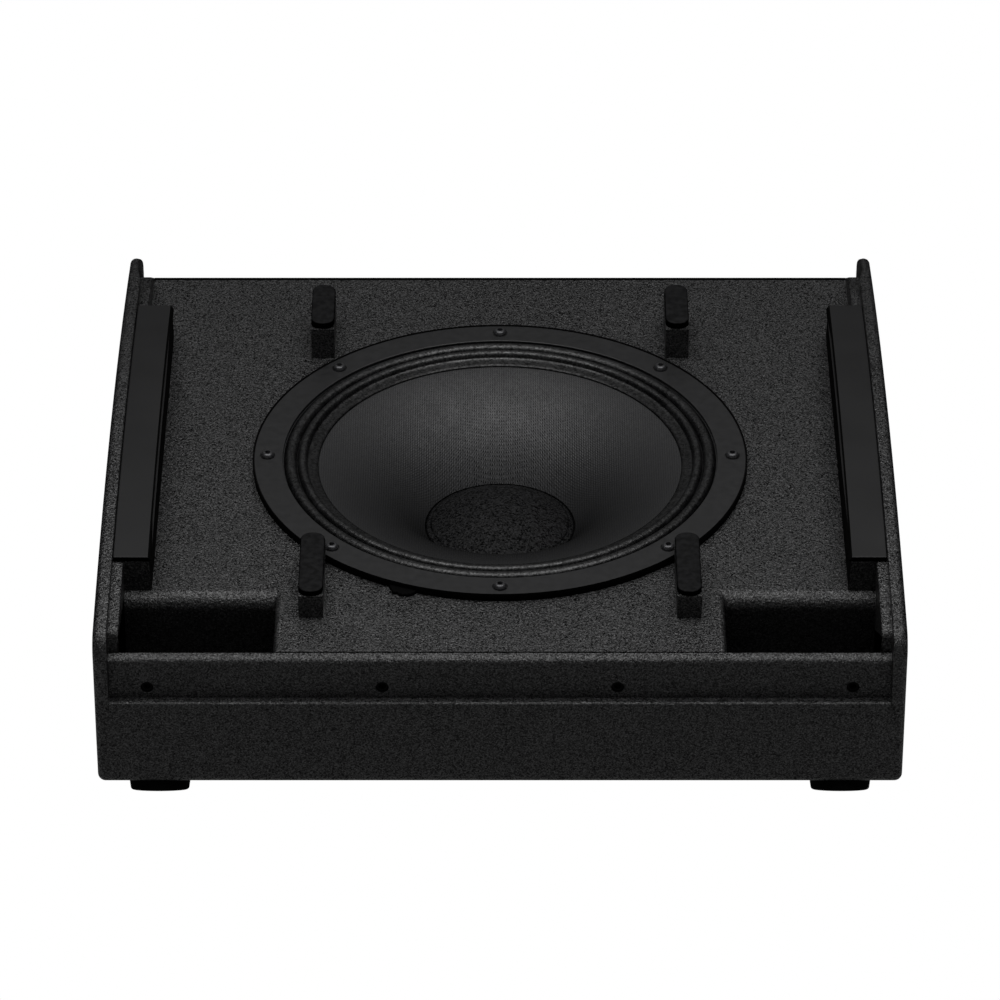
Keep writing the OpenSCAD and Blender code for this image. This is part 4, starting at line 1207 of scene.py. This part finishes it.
def build_dome():
    """Cloth dome that runs on into a pleated rim and turns down to the cone at its edge."""
    out_r = float(radii("dust_dome")[1])
    top = float(span("dust_dome")[1][2])
    in_r = out_r - DOME_SIDE
    seat = cone_height(in_r) + 1.6
    rise = top - seat
    ball = (in_r**2 + rise**2) / (2 * rise)
    edge = math.asin(in_r / ball)
    outer = [(ball * math.sin(edge * k / 40), top - ball + ball * math.cos(edge * k / 40)) for k in range(41)]
    foot_h = cone_height(out_r) + 0.1
    side = [(in_r + 0.6, seat - 0.3), (out_r - 0.1, (seat + foot_h) / 2), (out_r, foot_h)]
    under = [(in_r - 0.6, cone_height(in_r) + 0.1)]
    inner = [(r * 0.985, h - 0.9) for r, h in reversed(outer)][2:]

    def pleat(a, r, h):
        return 0.2 * math.sin(96 * a) * min(1, max(0, (r - out_r + DOME_RIM) / 1.5)) * min(1, max(0, (out_r - r) / 0.8))

    dome = new_object("dust_dome.look", revolve(outer + side + under + inner, 384, pleat), 60)
    dome.matrix_world = ON_BAFFLE
    dress(dome, DOME, CONE_BODY, ("dust_dome",))


def build_spider():
    in_r, out_r = radii("spider")
    mid = float((span("spider")[0][2] + span("spider")[1][2]) / 2)
    waves, count = 5, 90
    face = [(in_r, mid)]
    for k in range(count + 1):
        r = in_r + 2 + (out_r - 7 - in_r - 2) * k / count
        face.append((r, mid + 1.6 * math.sin(2 * math.pi * waves * k / count)))
    face.append((out_r, mid))
    under = [(r, h - 0.5) for r, h in reversed(face)]
    spider = new_object("spider.look", revolve(face + under, 160))
    radial_blend(spider)
    spider.data.materials.append(SPIDER)
    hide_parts("spider")


# ---- Feet, handles and connectors ----


def build_feet():
    low, high = world_span("feet")
    places = foot_places()
    foot_r = float(high[0] - max(p[0] for p in places)) + 0.7
    height = float(high[2] - low[2])
    profile = [(2.8, 4.6), (7, 4.6), (7, 0.5), (7.5, 0)]
    profile += [(foot_r - 3.2, 0)] + arc((foot_r - 3.2, 2.4), 2.4, -80, -5, 6) + [(foot_r, height - 0.5), (foot_r - 0.5, height), (2.8, height)]
    feet = combine([moved(revolve(profile, 64), Matrix.Translation((x, y, low[2]))) for x, y in places])
    obj = new_object("feet.look", feet, 40)
    dress(obj, RUBBER, CABINET, ("feet",))


def foot_places():
    """Centre (x, y) of each foot, from its screw."""
    points = cad_points("foot_screws")
    out = []
    for side in (points[points[:, 0] < 0], points[points[:, 0] > 0]):
        for end in (side[side[:, 1] < 0], side[side[:, 1] > 0]):
            mid = (end.min(0) + end.max(0)) / 2
            out.append((float(mid[0]), float(mid[1])))
    return out


def build_handles():
    """Moulded cups with rounded rims and draft, and the grip bars across them."""
    low, high = world_span("handle_cup_right")
    rim = counterclockwise(flange_outline("handle_cup_right", 0))
    flange = handle_flange()
    face, deep, sheet = float(high[0]), float(low[0]), 2.5

    def ring_at(x, depth):
        return [(x, y, z) for y, z in inset(rim, [depth] * len(rim))]

    loops = [ring_at(face - sheet, 0.0), ring_at(face - 0.7, 0.0), ring_at(face - 0.2, 0.2), ring_at(face, 0.7)]
    for k in range(7):
        a = math.pi / 2 * k / 6
        loops.append(ring_at(face - 2.4 * (1 - math.cos(a)), flange + sheet - 2.4 * (1 - math.sin(a)) - 0.2))
    loops.append(ring_at((face + deep) / 2, flange + sheet + 0.6))
    for k in range(7):
        a = math.pi / 2 * k / 6
        loops.append(ring_at(deep + sheet + 7 * (1 - math.sin(a)), flange + sheet + 1.0 + 7 * (1 - math.cos(a))))
    cup_floor = len(loops)
    outside = [ring_at(deep, flange + 8), ring_at(deep + 4, flange + 1.0), ring_at(face - sheet, flange + 0.02)]
    verts, faces = loft(loops, caps=False)
    verts2, faces2 = loft(outside, caps=False)
    size = len(rim)
    shell = combine([(verts, faces), (verts2, faces2)])
    last_in, first_out, last_out = (cup_floor - 1) * size, cup_floor * size, (cup_floor + 2) * size
    joins = [tuple(last_in + i for i in range(size)), tuple(first_out + i for i in reversed(range(size)))]
    joins += [(last_out + i, last_out + (i + 1) % size, (i + 1) % size, i) for i in range(size)]
    cup = new_object("handle_cup_right", (shell[0], shell[1] + joins), 45)
    holes = [moved(drum(2.0, -8, 8, 24), p) for p in handle_screw_places()]
    carve(cup, [new_object("holes", combine(holes))], sharp=45)
    mirror_pair(cup, "handle_cup", PLASTIC, ("handle_cup_right", "handle_cup_left"), True)
    build_handle_bars()
    build_handle_screws()


def handle_screw_places():
    """Matrices at each right-hand handle screw's seat, with z pointing out of the cabinet."""
    points = cad_points("handle_screws")
    points = points[points[:, 0] > 0]
    seat = float(world_span("handle_cup_right")[1][0])
    mid = (points.min(0) + points.max(0)) / 2
    out = []
    for ys in (points[points[:, 1] < mid[1]], points[points[:, 1] > mid[1]]):
        for part in (ys[ys[:, 2] < mid[2]], ys[ys[:, 2] > mid[2]]):
            spot = (part.min(0) + part.max(0)) / 2
            out.append(Matrix.Translation((seat, spot[1], spot[2])) @ Matrix.Rotation(math.pi / 2, 4, "Y"))
    return out


def both_sides(shape):
    verts, faces = shape
    return combine([shape, ([(-x, y, z) for x, y, z in verts], [tuple(reversed(f)) for f in faces])])


def build_handle_bars():
    """Grip bars: thicker in the middle, flared where they meet the cup."""
    points = cad_points("handle_bars")
    points = points[points[:, 0] > 0]
    low, high = points.min(0), points.max(0)
    mid, length, bar_r = (low + high) / 2, float(high[1] - low[1]), float(high[0] - low[0]) / 2
    loops = []
    for k in range(41):
        t = -1 + k / 20
        flare = 1.6 * max(0, abs(t) - 0.86) / 0.14
        r = bar_r - 0.9 + 0.8 * (1 - t * t) + flare * 0.5
        loops.append([
            (mid[0] + r * math.cos(a), mid[1] + t * length / 2, mid[2] + r * math.sin(a))
            for a in (2 * math.pi * i / 36 for i in range(36))
        ])
    bars = new_object("handle_bars.look", both_sides(loft(loops)), 50)
    dress(bars, PLASTIC, CABINET, ("handle_bars",))


def build_handle_screws():
    head, socket = button_head(0, 1.5, 3.4, 1.35, 1.7, -12)
    places = handle_screw_places()
    screws = new_object("handle_screws.look", both_sides(combine([moved(head, p) for p in places])))
    carve(screws, [new_object("sockets", both_sides(combine([moved(socket, p) for p in places])))])
    dress(screws, BLACK_SCREW, CABINET, ("handle_screws",))


def outwards(x, y, z):
    """A matrix at a point of the rear, with local z pointing out of the rear and local y up."""
    return Matrix.Translation((x, y, z)) @ Matrix.Rotation(-math.pi / 2, 4, "X")


def plate_places():
    low, high = world_span("connector_plate")
    xs, zs = (low[0] + 7, high[0] - 7), (low[2] + 6, high[2] - 6)
    return [outwards(x, float(high[1]), z) for x in xs for z in zs]


def socket_places():
    points = cad_points("input_sockets")
    seat = float(world_span("connector_plate")[1][1])
    out = []
    for side in (points[points[:, 0] < 0], points[points[:, 0] > 0]):
        mid = (side.min(0) + side.max(0)) / 2
        out.append(outwards(float(mid[0]), seat, float(mid[2])))
    return out


SOCKET_SCREW = (9.5, 12.0)


def build_connectors():
    low, high = world_span("connector_plate")
    mid_z = float(low[2] + high[2]) / 2
    outline = [(x, mid_z + z) for x, z in box_outline(high[0] - low[0], high[2] - low[2], 1.6)]
    thick = float(high[1] - low[1])
    rims = [(low[1], 0.0), (high[1] - 0.5, 0.0), (high[1] - 0.15, 0.15), (high[1], 0.5)]
    loops = [[(x, y, z) for x, z in inset(counterclockwise(outline), [d] * len(outline))] for y, d in rims]
    plate = new_object("connector_plate.look", loft(loops), 40)
    places = socket_places()
    holes = [moved(drum(12.2, -10, 5, 48), p) for p in places]
    holes += [moved(drum(1.8, -10, 5, 24), p) for p in plate_places()]
    small = [Matrix.Translation((side * SOCKET_SCREW[0], side * SOCKET_SCREW[1], 0)) for side in (-1, 1)]
    holes += [moved(drum(1.7, -10, 5, 24), p @ m) for p in places for m in small]
    carve(plate, [new_object("holes", combine(holes))])
    dress(plate, PLASTIC, CABINET, ("connector_plate",), True)

    flange_h, depth = 3.0, 15.0
    tail = float(world_span("input_sockets")[0][1] - high[1])
    flange = pillar(box_outline(26, 31, 3.5, 6), 0, flange_h, 0.2, 0.8, 4)
    barrel = drum(12, tail, 0.4, 64)
    well = combine([revolve([(6.2, -depth), (10.4, -depth), (10.4, flange_h + 1), (6.2, flange_h + 1)], 64)])
    lead_in = revolve([(10.2, flange_h - 0.7), (11.2, flange_h + 0.3), (10.2, flange_h + 0.3)], 64)
    key = loft([[(x, y, h) for x, y in ((8, -1.5), (11.4, -1.5), (11.4, 1.5), (8, 1.5))] for h in (-depth, flange_h + 1)])
    sockets = new_object("input_sockets.look", combine([moved(flange, p) for p in places]))
    carve(sockets, [new_object("barrels", combine([moved(barrel, p) for p in places]))], "UNION")
    carve(sockets, [new_object("wells", combine([moved(well, p) for p in places]))])
    carve(sockets, [new_object("keys", combine([moved(key, p) for p in places]))])
    bores = combine([moved(drum(1.7, -5, 8, 24), p @ m) for p in places for m in small])
    carve(sockets, [new_object("bores", bores)])
    dress(sockets, SOCKET, CABINET, ("input_sockets",), True)

    big = button_head(0, 2, 3.4, 1.35, 1.55, -9)
    tiny = button_head(0, 1.8, 2.8, 1.15, 1.45, -8)
    seats = [p @ m @ Matrix.Translation((0, 0, flange_h)) for p in places for m in small]
    heads = combine([moved(big[0], p) for p in plate_places()] + [moved(tiny[0], p) for p in seats])
    cuts = combine([moved(big[1], p) for p in plate_places()] + [moved(tiny[1], p) for p in seats])
    screws = new_object("connector_screws.look", heads)
    carve(screws, [new_object("sockets", cuts)])
    dress(screws, BLACK_SCREW, CABINET, ("connector_screws",))


# ---- Lining ----


def puffed(name, low, high, voxel=6.0, cap=6.0):
    """A wadding pad: a block remeshed, blown up a little by a cloth run, then frozen."""
    shrink = 5.0
    low, high = low + shrink, high - shrink
    outline = [(low[1], low[2]), (high[1], low[2]), (high[1], high[2]), (low[1], high[2])]
    shape = slab(rounded(outline, 3, 2), low[0], high[0], 2.5, 2.5, 2)
    pad = new_object(name, shape)
    remesh = pad.modifiers.new("voxels", "REMESH")
    remesh.mode = "VOXEL"
    remesh.voxel_size = voxel * MM
    bake_modifiers(pad)
    rest = [v.co.copy() for v in pad.data.vertices]
    cloth = pad.modifiers.new("cloth", "CLOTH")
    cloth.settings.use_pressure = True
    cloth.settings.uniform_pressure_force = 4
    cloth.settings.effector_weights.gravity = 0
    cloth.settings.quality = 4
    cloth.point_cache.frame_start = 1
    cloth.point_cache.frame_end = 20
    scene = bpy.context.scene
    for step in range(1, 21):
        scene.frame_set(step)
    bake_modifiers(pad)
    scene.frame_set(1)
    for vertex, start in zip(pad.data.vertices, rest):
        move = vertex.co - start
        lump = 1.2 * mnoise.noise(start * 28)
        if move.length > cap * MM:
            move = move.normalized() * cap * MM
        vertex.co = start + move + vertex.normal * lump * MM
    smooth = pad.modifiers.new("smooth", "SUBSURF")
    smooth.levels = smooth.render_levels = 1
    return pad


def bake_modifiers(obj):
    bpy.context.view_layer.update()
    seen = obj.evaluated_get(bpy.context.evaluated_depsgraph_get())
    mesh = bpy.data.meshes.new_from_object(seen)
    obj.modifiers.clear()
    obj.data = mesh
    for polygon in mesh.polygons:
        polygon.use_smooth = True


def build_lining():
    points = cad_points("damping_lining")
    split = float(points[:, 1].mean())
    parts = [points[points[:, 1] > REAR_Y - 60], points[points[:, 1] < REAR_Y - 60]]
    for number, (name, part) in enumerate(zip(("lining_rear", "lining_floor"), parts)):
        pad = puffed(name, part.min(0), part.max(0))
        dress(pad, WADDING, CABINET, ("damping_lining",))


# ---- Stage, light and camera ----

CAMERA_BACK = 4634.3  # distance of the camera in front of the driver's centre
CAMERA_UP = 88.9
CAMERA_TILT = 1.475
CAMERA_LENS = 208.9


FLOOR_GLOW = 0.2  # what the pale floor sends into everything but the camera
WORLD_GLOW = 0.015
SOFT_BOXES = [
    # name, place, width, height, power
    ("overhead_front", (0, -1.15, 1.95), 2.6, 1.2, 39),
    ("overhead", (0, 0.1, 2.3), 2.6, 1.2, 4.4),
    ("overhead_back", (0, 1.2, 1.9), 2.6, 1.0, 1.0),
    ("front", (0, -2.2, 1.4), 2.6, 0.8, 2.5),
]


def build_stage():
    floor = new_object("stage_floor", loft([[(-6000, -7000, 0), (6000, -7000, 0), (6000, 6000, 0), (-6000, 6000, 0)],
                                            [(-6000, -7000, -5), (6000, -7000, -5), (6000, 6000, -5), (-6000, 6000, -5)]]))
    material = bpy.data.materials.new("pale_floor")
    material.use_nodes = True
    tree = material.node_tree
    glow = tree.nodes.new("ShaderNodeEmission")
    glow.inputs["Color"].default_value = (1, 1, 1, 1)
    seen = tree.nodes.new("ShaderNodeLightPath").outputs["Is Camera Ray"]
    level = tree.nodes.new("ShaderNodeMapRange")
    level.inputs["To Min"].default_value = FLOOR_GLOW
    level.inputs["To Max"].default_value = 1.0
    tree.links.new(seen, level.inputs["Value"])
    tree.links.new(level.outputs["Result"], glow.inputs["Strength"])
    tree.links.new(glow.outputs[0], tree.nodes["Material Output"].inputs["Surface"])
    floor.data.materials.append(material)


def soft_box(name, place, target, width, height, power):
    light = bpy.data.lights.new(name, "AREA")
    light.shape = "RECTANGLE"
    light.size = width
    light.size_y = height
    light.energy = power
    obj = bpy.data.objects.new(name, light)
    obj.location = place
    obj.rotation_euler = (Vector(target) - Vector(place)).to_track_quat("-Z", "Y").to_euler()
    bpy.context.scene.collection.objects.link(obj)


def build_light():
    world = bpy.data.worlds.new("studio")
    bpy.context.scene.world = world
    world.use_nodes = True
    tree = world.node_tree
    base = tree.nodes["Background"]
    base.inputs["Color"].default_value = (1, 1, 1, 1)
    base.inputs["Strength"].default_value = WORLD_GLOW
    white = tree.nodes.new("ShaderNodeBackground")
    white.inputs["Color"].default_value = (1, 1, 1, 1)
    white.inputs["Strength"].default_value = 1.0
    seen = tree.nodes.new("ShaderNodeLightPath")
    mix = tree.nodes.new("ShaderNodeMixShader")
    tree.links.new(seen.outputs["Is Camera Ray"], mix.inputs["Fac"])
    tree.links.new(base.outputs[0], mix.inputs[1])
    tree.links.new(white.outputs[0], mix.inputs[2])
    tree.links.new(mix.outputs[0], tree.nodes["World Output"].inputs["Surface"])
    for name, place, width, height, power in SOFT_BOXES:
        soft_box(name, place, (0, -0.05, 0.22), width, height, power)


def build_camera():
    data = bpy.data.cameras.new("camera")
    data.lens = CAMERA_LENS
    data.sensor_width = 36
    data.clip_end = 50
    camera = bpy.data.objects.new("camera", data)
    camera.location = (0, (ORIGIN[1] - CAMERA_BACK) * MM, (ORIGIN[2] + CAMERA_UP) * MM)
    camera.rotation_euler = (math.radians(90 - CAMERA_TILT), 0, 0)
    bpy.context.scene.collection.objects.link(camera)
    bpy.context.scene.camera = camera
    bpy.context.scene.view_settings.view_transform = "Standard"


paint_kept_nodes()
build_side_panels()
build_baffle()
build_front_rail()
build_lower_front()
build_plain_panels()
build_strips()
build_posts()
build_ring()
build_driver_screws()
build_gasket()
build_surround()
build_cone()
build_dome()
build_spider()
build_feet()
build_handles()
build_connectors()
build_lining()
build_stage()
build_light()
build_camera()
